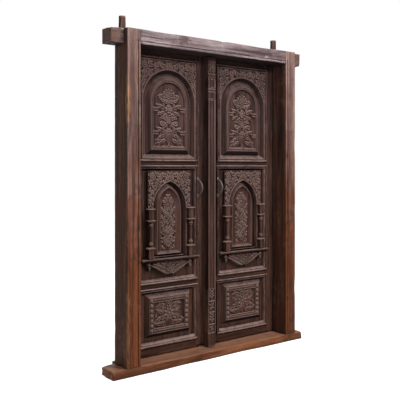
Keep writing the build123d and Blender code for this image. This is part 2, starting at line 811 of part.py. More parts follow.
def build():
    """All nodes by name."""
    nodes = {"sill": sill(), "head": head()}
    left = jamb()
    nodes["left_jamb"] = left
    nodes["right_jamb"] = mirrored(left)
    upper = pivot_block(head_z + rebate_rise, door_height, 0)
    lower = pivot_block(0, sill_height, socket_floor)
    for name, piece in (("upper_pivot_block", upper), ("lower_pivot_block", lower)):
        nodes["left_" + name] = piece
        nodes["right_" + name] = mirrored(piece)
    pegs = []
    for sign in (-1, 1):
        for z in (sill_height / 2, (head_z + rebate_rise + door_height) / 2):
            pegs += [peg(x, z, peg_radius - slack / 3, peg_length - slack) for x in peg_spots(sign)]
    nodes["pivot_block_pegs"] = Compound(pegs)
    for name, piece in leaf_pieces().items():
        nodes["left_" + name] = piece
        nodes["right_" + name] = mirrored(piece)
    step = (bay_right + bead_lap + strip_half) / 4
    reeds = [-strip_half + step * number for number in (1, 2, 3)]
    nodes["left_meeting_stile"] = meeting_stile(strip_half, reeds)
    other_edge = -(strip_half + meeting_gap)
    nodes["right_meeting_stile"] = mirrored(meeting_stile(other_edge, []))
    nodes["cover_strip"] = cover_strip()
    return nodes


os.makedirs("parts", exist_ok=True)
to_origin = Pos(0, -frame_depth / 2, 0)
for node, shape in build().items():
    export_step(to_origin * shape, "parts/" + node + ".step")
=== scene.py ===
# %% [markdown]
# # A carved temple door, dressed from its frame
# The packed model gives every timber its place. This notebook keeps the plain timbers, replaces the
# carved and the worn ones with finer meshes that stand in the same places, and gives every piece old
# wood or iron. The first cell loads the model and measures it, because each size below starts there.

import json
from math import cos, pi, radians, sin, sqrt

import bmesh
import bpy
import numpy as np
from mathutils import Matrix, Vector, noise

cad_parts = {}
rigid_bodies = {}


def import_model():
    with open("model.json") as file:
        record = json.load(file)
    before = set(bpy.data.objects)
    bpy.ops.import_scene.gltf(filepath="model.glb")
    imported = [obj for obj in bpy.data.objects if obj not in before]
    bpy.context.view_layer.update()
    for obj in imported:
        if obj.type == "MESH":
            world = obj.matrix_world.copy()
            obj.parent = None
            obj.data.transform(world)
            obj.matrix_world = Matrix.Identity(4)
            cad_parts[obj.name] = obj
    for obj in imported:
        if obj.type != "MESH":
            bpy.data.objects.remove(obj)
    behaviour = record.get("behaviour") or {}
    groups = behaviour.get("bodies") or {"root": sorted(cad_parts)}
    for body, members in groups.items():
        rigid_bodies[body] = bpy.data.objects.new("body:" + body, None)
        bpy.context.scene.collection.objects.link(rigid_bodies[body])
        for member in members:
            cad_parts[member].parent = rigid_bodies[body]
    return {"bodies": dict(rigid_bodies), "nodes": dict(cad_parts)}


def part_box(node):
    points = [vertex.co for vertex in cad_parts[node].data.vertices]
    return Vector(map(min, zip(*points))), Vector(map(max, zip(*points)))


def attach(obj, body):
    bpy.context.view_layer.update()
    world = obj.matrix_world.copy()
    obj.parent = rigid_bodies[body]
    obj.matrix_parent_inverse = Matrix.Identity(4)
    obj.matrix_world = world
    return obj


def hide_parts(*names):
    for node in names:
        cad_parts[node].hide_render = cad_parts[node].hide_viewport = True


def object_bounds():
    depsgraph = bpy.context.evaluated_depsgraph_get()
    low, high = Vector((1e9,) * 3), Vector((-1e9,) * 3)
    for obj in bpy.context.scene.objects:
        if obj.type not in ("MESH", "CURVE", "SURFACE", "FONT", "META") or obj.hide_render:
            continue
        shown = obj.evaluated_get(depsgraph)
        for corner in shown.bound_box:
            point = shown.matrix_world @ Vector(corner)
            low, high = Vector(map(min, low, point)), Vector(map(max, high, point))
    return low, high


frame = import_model()


def as_lists(bounds):
    """A box as two plain corners."""
    return [[float(value) for value in corner] for corner in bounds]


cad_bounds = as_lists(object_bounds())
nodes = frame["nodes"]
print("pieces in the frame:", len(nodes), "box:", cad_bounds)

# %% [markdown]
# ## The camera
# The photograph was taken level, from the left, with the horizon above the middle of the picture.
# A level camera keeps the jambs upright, so the lens is shifted down instead of tilted.

# %% Place the camera
camera_place = (-3.0808, -3.7914, 1.3839)
camera_turn = 38.01
lens_mm = 59.72
horizon_shift = -0.0825
sensor_mm = 36

lens = bpy.data.cameras.new("camera")
lens.lens = lens_mm
lens.sensor_width = sensor_mm
lens.shift_y = horizon_shift
camera = bpy.data.objects.new("camera", lens)
bpy.context.scene.collection.objects.link(camera)
camera.location = camera_place
camera.rotation_euler = (radians(90), 0, -radians(camera_turn))
bpy.context.scene.camera = camera
print("camera at", camera_place, "turned", camera_turn)

# %% [markdown]
# ## Light and floor
# The photograph's light comes from high in front, a little more from the right than from the left. A
# lamp overhead brightens the ledges, a soft one opens the left sides, a weak one stands behind for the
# back, and the sky is nearly dark, so that hollows stay deep. The backdrop is white for the camera and
# for reflections only, and adds no other light to the door.

# %% Build the studio
right_watts = 184
left_watts = 80
top_watts = 175
fill_watts = 84
back_watts = 90
sky_level = 0.055
white_level = 1.0
floor_size = 30.0
floor_grey = 0.3
door_middle = (0, 0, 1.2)


def lamp(name, place, size, watts):
    """A square area lamp at place that looks at the middle of the door."""
    data = bpy.data.lights.new(name, "AREA")
    data.size = size
    data.energy = watts
    lamp_object = bpy.data.objects.new(name, data)
    bpy.context.scene.collection.objects.link(lamp_object)
    lamp_object.location = place
    look = Vector(door_middle) - Vector(place)
    lamp_object.rotation_euler = look.to_track_quat("-Z", "Y").to_euler()


lamp("right key", (1.5, -4.1, 3.9), 0.8, right_watts)
lamp("left key", (-2.2, -3.9, 3.5), 0.8, left_watts)
lamp("top", (0.4, -1.5, 4.9), 0.9, top_watts)
lamp("fill", (-4.6, -2.4, 1.6), 1.6, fill_watts)
lamp("back", (1.8, 4.4, 3.0), 1.6, back_watts)


def glow(tree, kind, colour, strength):
    """A background or an emission of one colour."""
    made = tree.nodes.new(kind)
    made.inputs["Color"].default_value = (*colour, 1)
    made.inputs["Strength"].default_value = strength
    return made


def backdrop(tree, lighting, seen):
    """Shows seen to rays that look at the backdrop itself, and lighting to those that light the door."""
    path = tree.nodes.new("ShaderNodeLightPath")
    any_ray = path.outputs["Is Camera Ray"]
    for kind in ("Is Glossy Ray", "Is Transmission Ray"):
        more = tree.nodes.new("ShaderNodeMath")
        more.operation = "MAXIMUM"
        tree.links.new(any_ray, more.inputs[0])
        tree.links.new(path.outputs[kind], more.inputs[1])
        any_ray = more.outputs[0]
    either = tree.nodes.new("ShaderNodeMixShader")
    for slot, source in enumerate((any_ray, lighting.outputs[0], seen.outputs[0])):
        tree.links.new(source, either.inputs[slot])
    return either


WHITE = (1, 1, 1)
world = bpy.data.worlds.new("studio")
bpy.context.scene.world = world
world.use_nodes = True
sky = world.node_tree
sky.nodes.clear()
even = glow(sky, "ShaderNodeBackground", (0.95, 0.97, 1.0), sky_level)
white = glow(sky, "ShaderNodeBackground", WHITE, white_level)
sky_out = sky.nodes.new("ShaderNodeOutputWorld")
sky.links.new(backdrop(sky, even, white).outputs[0], sky_out.inputs[0])
bpy.context.scene.view_settings.view_transform = "Standard"

reach = floor_size / 2
floor_mesh = bpy.data.meshes.new("floor")
floor_mesh.from_pydata([(-reach, -reach, 0), (reach, -reach, 0), (reach, reach, 0), (-reach, reach, 0)],
                       [], [(0, 1, 2, 3)])
floor = bpy.data.objects.new("floor", floor_mesh)
bpy.context.scene.collection.objects.link(floor)
paper = bpy.data.materials.new("white paper")
paper.use_nodes = True
tree = paper.node_tree
shader = tree.nodes["Principled BSDF"]
shader.inputs["Base Color"].default_value = (floor_grey, floor_grey, floor_grey, 1)
shader.inputs["Roughness"].default_value = 0.9
dark = glow(tree, "ShaderNodeEmission", WHITE, 0.0)
white = glow(tree, "ShaderNodeEmission", WHITE, white_level)
both = tree.nodes.new("ShaderNodeAddShader")
tree.links.new(shader.outputs[0], both.inputs[0])
tree.links.new(backdrop(tree, dark, white).outputs[0], both.inputs[1])
tree.links.new(both.outputs[0], tree.nodes["Material Output"].inputs["Surface"])
floor_mesh.materials.append(paper)
print("studio: five lamps, an even sky and a white floor")

# %% [markdown]
# ## Shared effects
# Old wood shows the same few things everywhere: grain that runs with the timber, edges rubbed pale,
# and dust on whatever faces up. Each is a node group with named inputs, built once and then placed in
# every wood material with its own values. A group only hands out masks and heights. The dust group
# also hands out painted shade: a mask for corners and hollows, where grime gathers too, and one for
# faces that look down.

# %% A small kit for node groups
FLOAT, VECTOR = "NodeSocketFloat", "NodeSocketVector"
NOISE = "ShaderNodeTexNoise"


def link(tree, source, target):
    """A wire from an output to an input."""
    tree.links.new(source, target)


def feed(tree, target, value):
    """Give an input its value: a link when it is a socket, otherwise a constant."""
    if isinstance(value, bpy.types.NodeSocket):
        link(tree, value, target)
    else:
        target.default_value = value


def node(tree, kind, settings=None, **values):
    """A node with its settings and with what feeds its inputs."""
    made = tree.nodes.new(kind)
    for key, value in (settings or {}).items():
        setattr(made, key, value)
    for key, value in values.items():
        feed(tree, made.inputs[key.replace("_", " ")], value)
    return made


def group(name, inputs, outputs):
    """An empty shader group and its sockets inside; inputs are (name, type, default)."""
    made = bpy.data.node_groups.new(name, "ShaderNodeTree")
    for label, kind, default in inputs:
        socket = made.interface.new_socket(name=label, in_out="INPUT", socket_type=kind)
        socket.default_value = default
    for label in outputs:
        made.interface.new_socket(name=label, in_out="OUTPUT", socket_type=FLOAT)
    return made, made.nodes.new("NodeGroupInput").outputs, made.nodes.new("NodeGroupOutput").inputs


def math_node(tree, operation, *numbers, clamp=False):
    """A Math node fed by sockets or numbers."""
    made = node(tree, "ShaderNodeMath", {"operation": operation, "use_clamp": clamp})
    for slot, value in enumerate(numbers):
        feed(tree, made.inputs[slot], value)
    return made.outputs[0]


def times(tree, first, second, clamp=False):
    """Two values multiplied."""
    return math_node(tree, "MULTIPLY", first, second, clamp=clamp)


def opposite(tree, value, clamp=False):
    """1 minus the value."""
    return math_node(tree, "SUBTRACT", 1.0, value, clamp=clamp)


def span(tree, value, low, high):
    """The value mapped to 0 at low and 1 at high, eased at both ends."""
    made = node(tree, "ShaderNodeMapRange", {"interpolation_type": "SMOOTHSTEP"}, Value=value, From_Min=low,
                From_Max=high)
    return made.outputs["Result"]


def on_object(tree):
    """Where a point lies on its own object."""
    return node(tree, "ShaderNodeTexCoord").outputs["Object"]


def axis_of(tree, vector, axis):
    """One axis of a vector."""
    split = node(tree, "ShaderNodeSeparateXYZ")
    link(tree, vector, split.inputs[0])
    return split.outputs[axis]


print("node kit ready")

# %% Grain
UP = (1, 1, 0.05)
LEVEL = (0.05, 1, 1)
grain_group, given, result = group(
    "wood grain", [("Stretch", VECTOR, UP), ("Streaks", FLOAT, 26.0), ("Pores", FLOAT, 240.0)],
    ("Streak", "Pore", "Stain", "Height"))
place = on_object(grain_group)
along = node(grain_group, "ShaderNodeMapping", Vector=place, Scale=given["Stretch"]).outputs[0]
streak = node(grain_group, NOISE, Vector=along, Scale=given["Streaks"], Detail=5.0, Roughness=0.62,
              Distortion=0.9)
pore = node(grain_group, NOISE, Vector=along, Scale=given["Pores"], Detail=3.0, Roughness=0.7)
stain = node(grain_group, NOISE, Vector=place, Scale=3.4, Detail=4.0, Roughness=0.6)
streak_mask = span(grain_group, streak.outputs["Fac"], 0.36, 0.64)
pore_mask = span(grain_group, pore.outputs["Fac"], 0.42, 0.62)
link(grain_group, streak_mask, result["Streak"])
link(grain_group, pore_mask, result["Pore"])
link(grain_group, span(grain_group, stain.outputs["Fac"], 0.35, 0.7), result["Stain"])
fine = times(grain_group, pore_mask, 0.4)
link(grain_group, math_node(grain_group, "MULTIPLY_ADD", streak_mask, 0.6, fine), result["Height"])
print("group:", grain_group.name)

# %% Worn edges
wear_group, given, result = group(
    "worn edges", [("Radius", FLOAT, 0.004), ("Amount", FLOAT, 1.0), ("Patches", FLOAT, 14.0)], ("Edge",))
rounded = node(wear_group, "ShaderNodeBevel", {"samples": 6}, Radius=given["Radius"])
flat = node(wear_group, "ShaderNodeNewGeometry")
agree = node(wear_group, "ShaderNodeVectorMath", {"operation": "DOT_PRODUCT"})
link(wear_group, rounded.outputs[0], agree.inputs[0])
link(wear_group, flat.outputs["Normal"], agree.inputs[1])
apart = opposite(wear_group, agree.outputs["Value"], clamp=True)
patches = node(wear_group, NOISE, Vector=on_object(wear_group), Scale=given["Patches"], Detail=4.0,
               Roughness=0.65)
rubbed = times(wear_group, span(wear_group, apart, 0.015, 0.16),
               span(wear_group, patches.outputs["Fac"], 0.30, 0.62))
link(wear_group, times(wear_group, rubbed, given["Amount"], clamp=True), result["Edge"])
print("group:", wear_group.name)

# %% Dust, grime and painted shade
dust_dirt_shade_group, given, result = group(
    "dust, grime and shade", [("Dust", FLOAT, 0.6), ("Grime", FLOAT, 0.7), ("Reach", FLOAT, 0.03)],
    ("Dusty", "DirtAndShade", "UnderShade", "Flank"))
facing = node(dust_dirt_shade_group, "ShaderNodeNewGeometry").outputs["Normal"]
upward = axis_of(dust_dirt_shade_group, facing, "Z")
patchy = node(dust_dirt_shade_group, NOISE, Vector=on_object(dust_dirt_shade_group), Scale=22.0, Detail=5.0, Roughness=0.7)
settled = times(dust_dirt_shade_group, span(dust_dirt_shade_group, upward, 0.12, 0.85),
                span(dust_dirt_shade_group, patchy.outputs["Fac"], 0.22, 0.6))
link(dust_dirt_shade_group, times(dust_dirt_shade_group, settled, given["Dust"], clamp=True), result["Dusty"])
# The ambient occlusion marks corners and hollows for grime and painted shade.
hidden = node(dust_dirt_shade_group, "ShaderNodeAmbientOcclusion", {"samples": 6}, Distance=given["Reach"])
closed = span(dust_dirt_shade_group, opposite(dust_dirt_shade_group, hidden.outputs["AO"], clamp=True), 0.16, 0.72)
link(dust_dirt_shade_group, times(dust_dirt_shade_group, closed, given["Grime"], clamp=True), result["DirtAndShade"])
# Faces that look down get a mask of painted shade.
link(dust_dirt_shade_group, span(dust_dirt_shade_group, times(dust_dirt_shade_group, upward, -1.0), 0.25, 0.75), result["UnderShade"])
sideways = math_node(dust_dirt_shade_group, "ABSOLUTE", axis_of(dust_dirt_shade_group, facing, "X"))
link(dust_dirt_shade_group, span(dust_dirt_shade_group, sideways, 0.55, 0.95), result["Flank"])
print("group:", dust_dirt_shade_group.name)

# %% [markdown]
# ## The finishes
# Every wood is the same recipe with its own five colours: dark and light grain, large stains, rubbed
# edges and dust, with grime and painted shade in the corners and painted shade under faces that look
# down. Grain runs up the stiles and jambs and along the rails, head and sill, so each finish has a
# direction. Some timbers have more: broad old streaks, a redder foot, other colours at their flanks,
# ends or far side, and pale and deep blotches. Carved pieces carry a mask of their own, painted on their
# points: 1 on the crests that hands and brushes reach, which take the rubbed colour as wear and a
# painted highlight, and 0 in the ground, which is darkened as painted shade.

# %% Mix the woods
WOOD_SHEEN = 0.09
GRIME_AND_SHADE = 0.9


def scaled(colour, share):
    """The same colour, darker or brighter."""
    return tuple(share * part for part in colour)


def mix(tree, factor, first, second):
    """A colour mix by a mask."""
    made = node(tree, "ShaderNodeMix", {"data_type": "RGBA"})
    feed(tree, made.inputs[0], factor)
    for slot, value in ((6, first), (7, second)):
        feed(tree, made.inputs[slot], (*value, 1) if isinstance(value, tuple) else value)
    return made.outputs[2]


def placed(tree, made_group, **values):
    """The outputs of a shader group set in a material with its own values."""
    return node(tree, "ShaderNodeGroup", {"node_tree": made_group}, **values).outputs


def wood(name, dark, light, stain, rubbed, dust, direction=UP, wear=1.0, dusty=0.5, streaks=26.0,
         depth=0.0012, rough=0.66, carved=False, foot=None, flank=None, ends=None, bands=None,
         far_side=None, mottle=None):
    """One wood finish. foot is (colour, low, high): a second colour that takes over towards the floor.
    flank is a colour for faces that look sideways, ends is (colour, distance from the middle), bands are
    two colours of broad old streaks, far_side is (colour, from, to) along X, and mottle is a pale and a
    deep colour in blotches."""
    material = bpy.data.materials.new(name)
    material.use_nodes = True
    tree = material.node_tree
    shader = tree.nodes["Principled BSDF"]
    place = on_object(tree)
    grain = placed(tree, grain_group, Stretch=direction, Streaks=streaks)
    edge = placed(tree, wear_group, Amount=wear)
    dirt_and_shade = placed(tree, dust_dirt_shade_group, Dust=dusty, Grime=GRIME_AND_SHADE)

    def over(colour, mask, share, second):
        """The colour with a second one over it, as far as the mask and the share let it show."""
        return mix(tree, times(tree, mask, share), colour, second)

    def grained(colour, darkest, lightest, mask=grain["Streak"]):
        """A colour that follows the grain."""
        return mix(tree, mask, scaled(colour, darkest), scaled(colour, lightest))

    colour = over(mix(tree, grain["Streak"], dark, light), grain["Stain"], 0.45, stain)
    if bands:
        broad = placed(tree, grain_group, Stretch=direction, Streaks=streaks * 0.42)["Streak"]
        colour = over(colour, opposite(tree, span(tree, broad, 0.05, 0.5)), 0.75, bands[0])
        colour = over(colour, span(tree, broad, 0.62, 1.0), 0.55, bands[1])
    if foot:
        wobble = math_node(tree, "MULTIPLY_ADD", grain["Stain"], -0.5, axis_of(tree, place, "Z"))
        lower = opposite(tree, span(tree, wobble, foot[1], foot[2]))
        colour = mix(tree, lower, colour, grained(foot[0], 0.35, 1.15))
    if flank:
        redder = tuple(part * share for part, share in zip(flank, (1.15, 0.62, 0.55)))
        side = over(grained(flank, 0.14, 1.4), span(tree, grain["Stain"], 0.3, 0.8), 0.45, redder)
        side = over(side, span(tree, grain["Height"], 0.86, 1.0), 0.35, rubbed)
        colour = over(colour, dirt_and_shade["Flank"], 0.9, side)
    if far_side:
        wander = math_node(tree, "MULTIPLY_ADD", grain["Stain"], 0.35, axis_of(tree, place, "X"))
        beyond = span(tree, wander, far_side[1], far_side[2])
        colour = over(colour, beyond, 0.8, grained(far_side[0], 0.3, 1.6))
    if ends:
        outward = math_node(tree, "ABSOLUTE", axis_of(tree, place, "X"))
        beyond = span(tree, outward, ends[1], ends[1] + 0.02)
        colour = over(colour, beyond, 0.85, grained(ends[0], 0.6, 1.5, grain["Stain"]))
    if mottle:
        blotch = node(tree, NOISE, Vector=place, Scale=7.0, Detail=7.0, Roughness=0.72).outputs["Fac"]
        colour = over(colour, span(tree, blotch, 0.52, 0.72), 0.24, mottle[0])
        colour = over(colour, opposite(tree, span(tree, blotch, 0.34, 0.47)), 0.7, mottle[1])
    colour = over(colour, opposite(tree, grain["Pore"]), 0.35, scaled(dark, 0.35))
    # Carved wood: the crest mask paints shade in the hollows, and lays the rubbed colour on the crests as
    # wear and a painted highlight.
    if carved:
        crest = node(tree, "ShaderNodeAttribute", {"attribute_name": "crest"}).outputs["Fac"]
        colour = over(colour, opposite(tree, span(tree, crest, 0.08, 0.5)), 0.9, scaled(dark, 0.2))
        colour = over(colour, span(tree, crest, 0.48, 0.85), 0.5, rubbed)
    rub = node(tree, "ShaderNodeAttribute", {"attribute_name": "rub"}).outputs["Fac"]
    patchy = times(tree, span(tree, rub, 0.15, 0.8), grain["Pore"])
    colour = over(colour, patchy, min(1.0, 0.8 * wear), rubbed)
    # Grime and painted shade in corners and hollows, from the dark grain colour.
    colour = mix(tree, dirt_and_shade["DirtAndShade"], colour, scaled(dark, 0.25))
    # Painted shade under faces that look down.
    colour = over(colour, dirt_and_shade["UnderShade"], 0.88, scaled(dark, 0.25))
    colour = mix(tree, dirt_and_shade["Dusty"], colour, dust)
    colour = mix(tree, edge["Edge"], colour, rubbed)
    link(tree, colour, shader.inputs["Base Color"])
    gloss = math_node(tree, "MULTIPLY_ADD", grain["Streak"], 0.12, rough - 0.06)
    link(tree, math_node(tree, "MULTIPLY_ADD", dirt_and_shade["Dusty"], 0.25, gloss, clamp=True),
         shader.inputs["Roughness"])
    bump = node(tree, "ShaderNodeBump", Strength=0.55, Distance=depth, Height=grain["Height"])
    link(tree, bump.outputs[0], shader.inputs["Normal"])
    shader.inputs["Specular IOR Level"].default_value = WOOD_SHEEN
    return material


# Dark grain, light grain, stain, rubbed wood and dust of each timber. The dark grain, made darker, is also
# the painted shade, and on carved crests the rubbed wood is also a painted highlight.
LEAF = ((0.014, 0.0065, 0.0055), (0.078, 0.041, 0.036), (0.052, 0.018, 0.015), (0.27, 0.172, 0.148),
        (0.19, 0.129, 0.117))
JAMB = ((0.07, 0.037, 0.031), (0.27, 0.18, 0.165), (0.12, 0.062, 0.05), (0.32, 0.155, 0.07),
        (0.24, 0.185, 0.175))
HEAD = ((0.055, 0.034, 0.034), (0.29, 0.232, 0.238), (0.13, 0.082, 0.085), (0.36, 0.28, 0.27),
        (0.26, 0.21, 0.21))
SILL = ((0.075, 0.023, 0.009), (0.29, 0.1, 0.036), (0.13, 0.045, 0.02), (0.42, 0.2, 0.1),
        (0.19, 0.11, 0.078))
BLOCK = ((0.04, 0.024, 0.018), (0.1, 0.065, 0.05), (0.06, 0.036, 0.028), (0.18, 0.12, 0.095),
         (0.15, 0.11, 0.1))
LEAF_FOOT = ((0.08, 0.035, 0.023), 0.0, 1.7)
LEAF_BANDS = ((0.016, 0.009, 0.006), (0.1, 0.046, 0.028))
JAMB_FOOT = ((0.155, 0.044, 0.015), 0.5, 1.9)
JAMB_MOTTLE = ((0.2, 0.12, 0.09), (0.035, 0.015, 0.011))
HEAD_MOTTLE = ((0.36, 0.3, 0.3), (0.05, 0.028, 0.028))
SILL_MOTTLE = ((0.27, 0.15, 0.1), (0.05, 0.018, 0.009))
UMBER = (0.04, 0.0175, 0.0098)
finishes = {
    "leaf upright": wood("leaf wood upright", *LEAF, streaks=55.0, depth=0.0016, foot=LEAF_FOOT,
                         bands=LEAF_BANDS),
    "leaf level": wood("leaf wood level", *LEAF, LEVEL, foot=LEAF_FOOT),
    "carved": wood("carved wood", *LEAF, wear=0.6, carved=True, foot=LEAF_FOOT),
    "moulding": wood("moulding wood", *LEAF, dusty=0.9, foot=LEAF_FOOT),
    "jamb": wood("jamb wood", *JAMB, streaks=20.0, depth=0.002, foot=JAMB_FOOT, flank=UMBER,
                 mottle=JAMB_MOTTLE),
    "shaded jamb": wood("shaded jamb wood", *JAMB, streaks=20.0, depth=0.002, foot=JAMB_FOOT,
                        flank=scaled(UMBER, 0.95), mottle=JAMB_MOTTLE),
    "head": wood("head wood", *HEAD, LEVEL, streaks=20.0, depth=0.002, ends=((0.1, 0.052, 0.037), 0.79),
                 far_side=((0.115, 0.076, 0.077), -0.05, 0.5), mottle=HEAD_MOTTLE),
    "sill": wood("sill wood", *SILL, LEVEL, streaks=22.0, depth=0.002, rough=0.55, mottle=SILL_MOTTLE),
    "block": wood("block wood", *BLOCK, LEVEL),
}
print("finishes:", ", ".join(finishes))

# %% [markdown]
# The handles are forged iron that has gone almost black, with a little brown rust in patches, and paler
# along the edges that hands have rubbed.

# %% Mix the iron
iron = bpy.data.materials.new("forged iron")
iron.use_nodes = True
tree = iron.node_tree
shader = tree.nodes["Principled BSDF"]
shader.inputs["Metallic"].default_value = 0.3
scale_noise = node(tree, NOISE, Vector=on_object(tree), Scale=90.0, Detail=4.0).outputs["Fac"]
rust = span(tree, scale_noise, 0.48, 0.66)
edge = placed(tree, wear_group, Radius=0.003, Amount=0.9)
colour = mix(tree, rust, (0.075, 0.058, 0.052), (0.06, 0.036, 0.026))
link(tree, mix(tree, edge["Edge"], colour, (0.2, 0.165, 0.15)), shader.inputs["Base Color"])
link(tree, math_node(tree, "MULTIPLY_ADD", rust, 0.25, 0.5), shader.inputs["Roughness"])
bump = node(tree, "ShaderNodeBump", Strength=0.4, Distance=0.0008, Height=scale_noise)
link(tree, bump.outputs[0], shader.inputs["Normal"])
finishes["iron"] = iron
print("iron ready")

# %% [markdown]
# ## Give every CAD piece its finish
# The pieces that stay as they are get their wood here, by the way their grain runs.

# %% Dress the pieces that stay
FINISH_BY_WORD = {"sill": "sill", "head": "head", "jamb": "jamb", "pivot_block": "block", "handle": "iron",
                  "stile": "leaf upright", "_board": "leaf upright", "rail": "leaf level",
                  "shelf": "leaf level", "moulding": "moulding"}


def finish_of(name):
    """Which finish a node's piece has, by a word in its name; the rest is carved."""
    return next((finish for word, finish in FINISH_BY_WORD.items() if word in name), "carved")


for name, piece in nodes.items():
    material = finishes[finish_of(name)]
    for slot in range(max(1, len(piece.material_slots))):
        if slot < len(piece.material_slots):
            piece.material_slots[slot].material = material
        else:
            piece.data.materials.append(material)
print("dressed", len(nodes), "pieces")

# %% [markdown]
# ## Timbers worn by hands and weather
# The plain timbers keep the form of the model. Each one is copied, its long arrises are rounded, it is
# sliced finely enough to bend light, and then every point is pushed in a little by smooth noise: more
# on the arrises, and deepest in a few named gouges. Only two things move outwards, so that less light
# shows round the closed leaves: their feet drop by 3 mm, and the edges of the meeting stiles stand a
# little closer. How far a point was rubbed is kept on the mesh as "rub", which the wood reads as a mask.

# %% Weather a timber
def body_of(name):
    """The body that a CAD node belongs to."""
    return next(body for body, empty in frame["bodies"].items() if nodes[name].parent is empty)


MERGE = 1e-5
ARRIS_ANGLE = 0.9
SMOOTH_BELOW = radians(38)
HAND_HEIGHT, HAND_REACH = 1.84, 0.24
FOOT_HEIGHT, FOOT_REACH = 0.3, 0.8
EDGE_BAND = 0.003


def weathered(name, finish, arris=0.004, pitch=(0.02, 0.03, 0.02), wave=0.0008, nick=0.003,
              gouges=(), shortest=0.04, worn_line=None, crisp_from=None, drop=0.0, wider=None):
    """Replace a CAD timber by a worn copy. gouges are (place, radius, depth) in metres, worn_line is an
    upright arris (x, y, reach) that hands have rubbed pale, nothing behind crisp_from is worn, drop lets a
    leaf's foot down over its gap, and wider is (x, step): the edge at x stands further out by step."""
    made = bmesh.new()
    made.from_mesh(nodes[name].data)
    bmesh.ops.remove_doubles(made, verts=made.verts, dist=MERGE)
    bmesh.ops.dissolve_limit(made, angle_limit=0.02, verts=made.verts, edges=made.edges)
    sharp = [edge for edge in made.edges if len(edge.link_faces) == 2 and edge.calc_length() > shortest
             and edge.calc_face_angle_signed() > ARRIS_ANGLE
             and not (crisp_from and min(end.co.y for end in edge.verts) > crisp_from)]
    bmesh.ops.bevel(made, geom=sharp, offset=arris, segments=3, profile=0.5, affect="EDGES",
                    clamp_overlap=True)
    low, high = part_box(name)
    for axis in range(3):
        normal = [0, 0, 0]
        normal[axis] = 1
        count = int((high[axis] - low[axis]) / pitch[axis])
        for step in range(1, count):
            place = [0, 0, 0]
            place[axis] = low[axis] + (high[axis] - low[axis]) * step / count
            everything = made.verts[:] + made.edges[:] + made.faces[:]
            bmesh.ops.bisect_plane(made, geom=everything, dist=MERGE, plane_co=place, plane_no=normal)
    bmesh.ops.triangulate(made, faces=[face for face in made.faces if len(face.verts) > 4])
    made.normal_update()
    rubs = made.verts.layers.float.new("rub")
    moves = []
    for point in made.verts:
        p, n = point.co, point.normal
        corner = min(1.0, max(0.0, (1 - max(abs(n.x), abs(n.y), abs(n.z))) * 3.4))
        slow = 0.5 + 0.5 * noise.noise(Vector((p.x * 5, p.y * 5, p.z * 3.1)))
        quick = max(0.0, noise.noise(Vector((p.x * 31, p.y * 31, p.z * 19)))) * 2
        rub = corner * (0.35 + 0.65 * slow)
        if worn_line:
            away = sqrt((p.x - worn_line[0]) ** 2 + (p.y - worn_line[1]) ** 2)
            by_hands = 1 - (abs(p.z - HAND_HEIGHT) / HAND_REACH) ** 2
            by_feet = 0.6 - (max(0.0, p.z - FOOT_HEIGHT) / FOOT_REACH) ** 2
            patch = max(by_hands, by_feet, 0.2)
            patch = patch * (1.1 + noise.noise(Vector((0, 0, p.z * 9.0))))
            rub = max(0.3 * rub, patch * (1 - away / worn_line[2]))
        point[rubs] = rub
        push = wave * slow + corner * nick * quick * slow
        if crisp_from and p.y > crisp_from:
            push = 0.0
        for place, radius, depth in gouges:
            near = max(0.0, 1 - (p - Vector(place)).length / radius)
            push += depth * near * near * (3 - 2 * near)
        move = n * -push
        if drop and p.z < low[2] + EDGE_BAND:
            move.z = -drop
        if wider and abs(p.x - wider[0]) < EDGE_BAND:
            move.x += wider[1]
        moves.append(move)
    for point, move in zip(made.verts, moves):
        point.co += move
    mesh = bpy.data.meshes.new(name + "_worn")
    made.to_mesh(mesh)
    made.free()
    mesh.polygons.foreach_set("use_smooth", [True] * len(mesh.polygons))
    mesh.set_sharp_from_angle(angle=SMOOTH_BELOW)
    mesh.materials.append(finishes[finish])
    piece = bpy.data.objects.new(name + "_worn", mesh)
    bpy.context.scene.collection.objects.link(piece)
    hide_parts(name)
    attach(piece, body_of(name))
    return len(mesh.polygons)


# %% The four timbers of the frame
front, back = cad_bounds[0][1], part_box("left_jamb")[1][1]
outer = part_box("left_jamb")[0][0]
left_gouges = [((outer, back, 0.30), 0.06, 0.002), ((outer, front, 1.95), 0.16, 0.004),
               ((outer, front, 1.72), 0.12, 0.003), ((outer, front, 0.9), 0.12, 0.003),
               ((outer + 0.01, front, 0.1), 0.03, 0.004)]
right_gouges = [((-outer, front, 1.55), 0.12, 0.003), ((-outer, front, 0.42), 0.10, 0.003)]
sill_low, sill_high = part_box("sill")
head_low, head_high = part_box("head")
sill_gouges = [((sill_low.x, sill_low.y, 0.06), 0.05, 0.010),
               ((sill_low.x, sill_high.y, 0.03), 0.07, 0.012), ((-0.3, sill_low.y, 0.06), 0.22, 0.004),
               ((0.25, sill_low.y, 0.06), 0.25, 0.005), ((0.86, sill_low.y, 0.06), 0.05, 0.005),
               ((0.0, sill_low.y + 0.05, 0.06), 0.30, 0.003)]
head_gouges = [((0.03, head_low.y, head_high.z), 0.035, 0.008),
               ((head_low.x, 0.02, head_low.z), 0.05, 0.006),
               ((head_low.x, -0.03, head_high.z), 0.05, 0.006),
               ((-0.5, head_low.y, head_high.z), 0.16, 0.004),
               ((0.4, head_low.y, head_high.z), 0.2, 0.004),
               ((head_high.x, -0.03, head_low.z), 0.04, 0.005)]
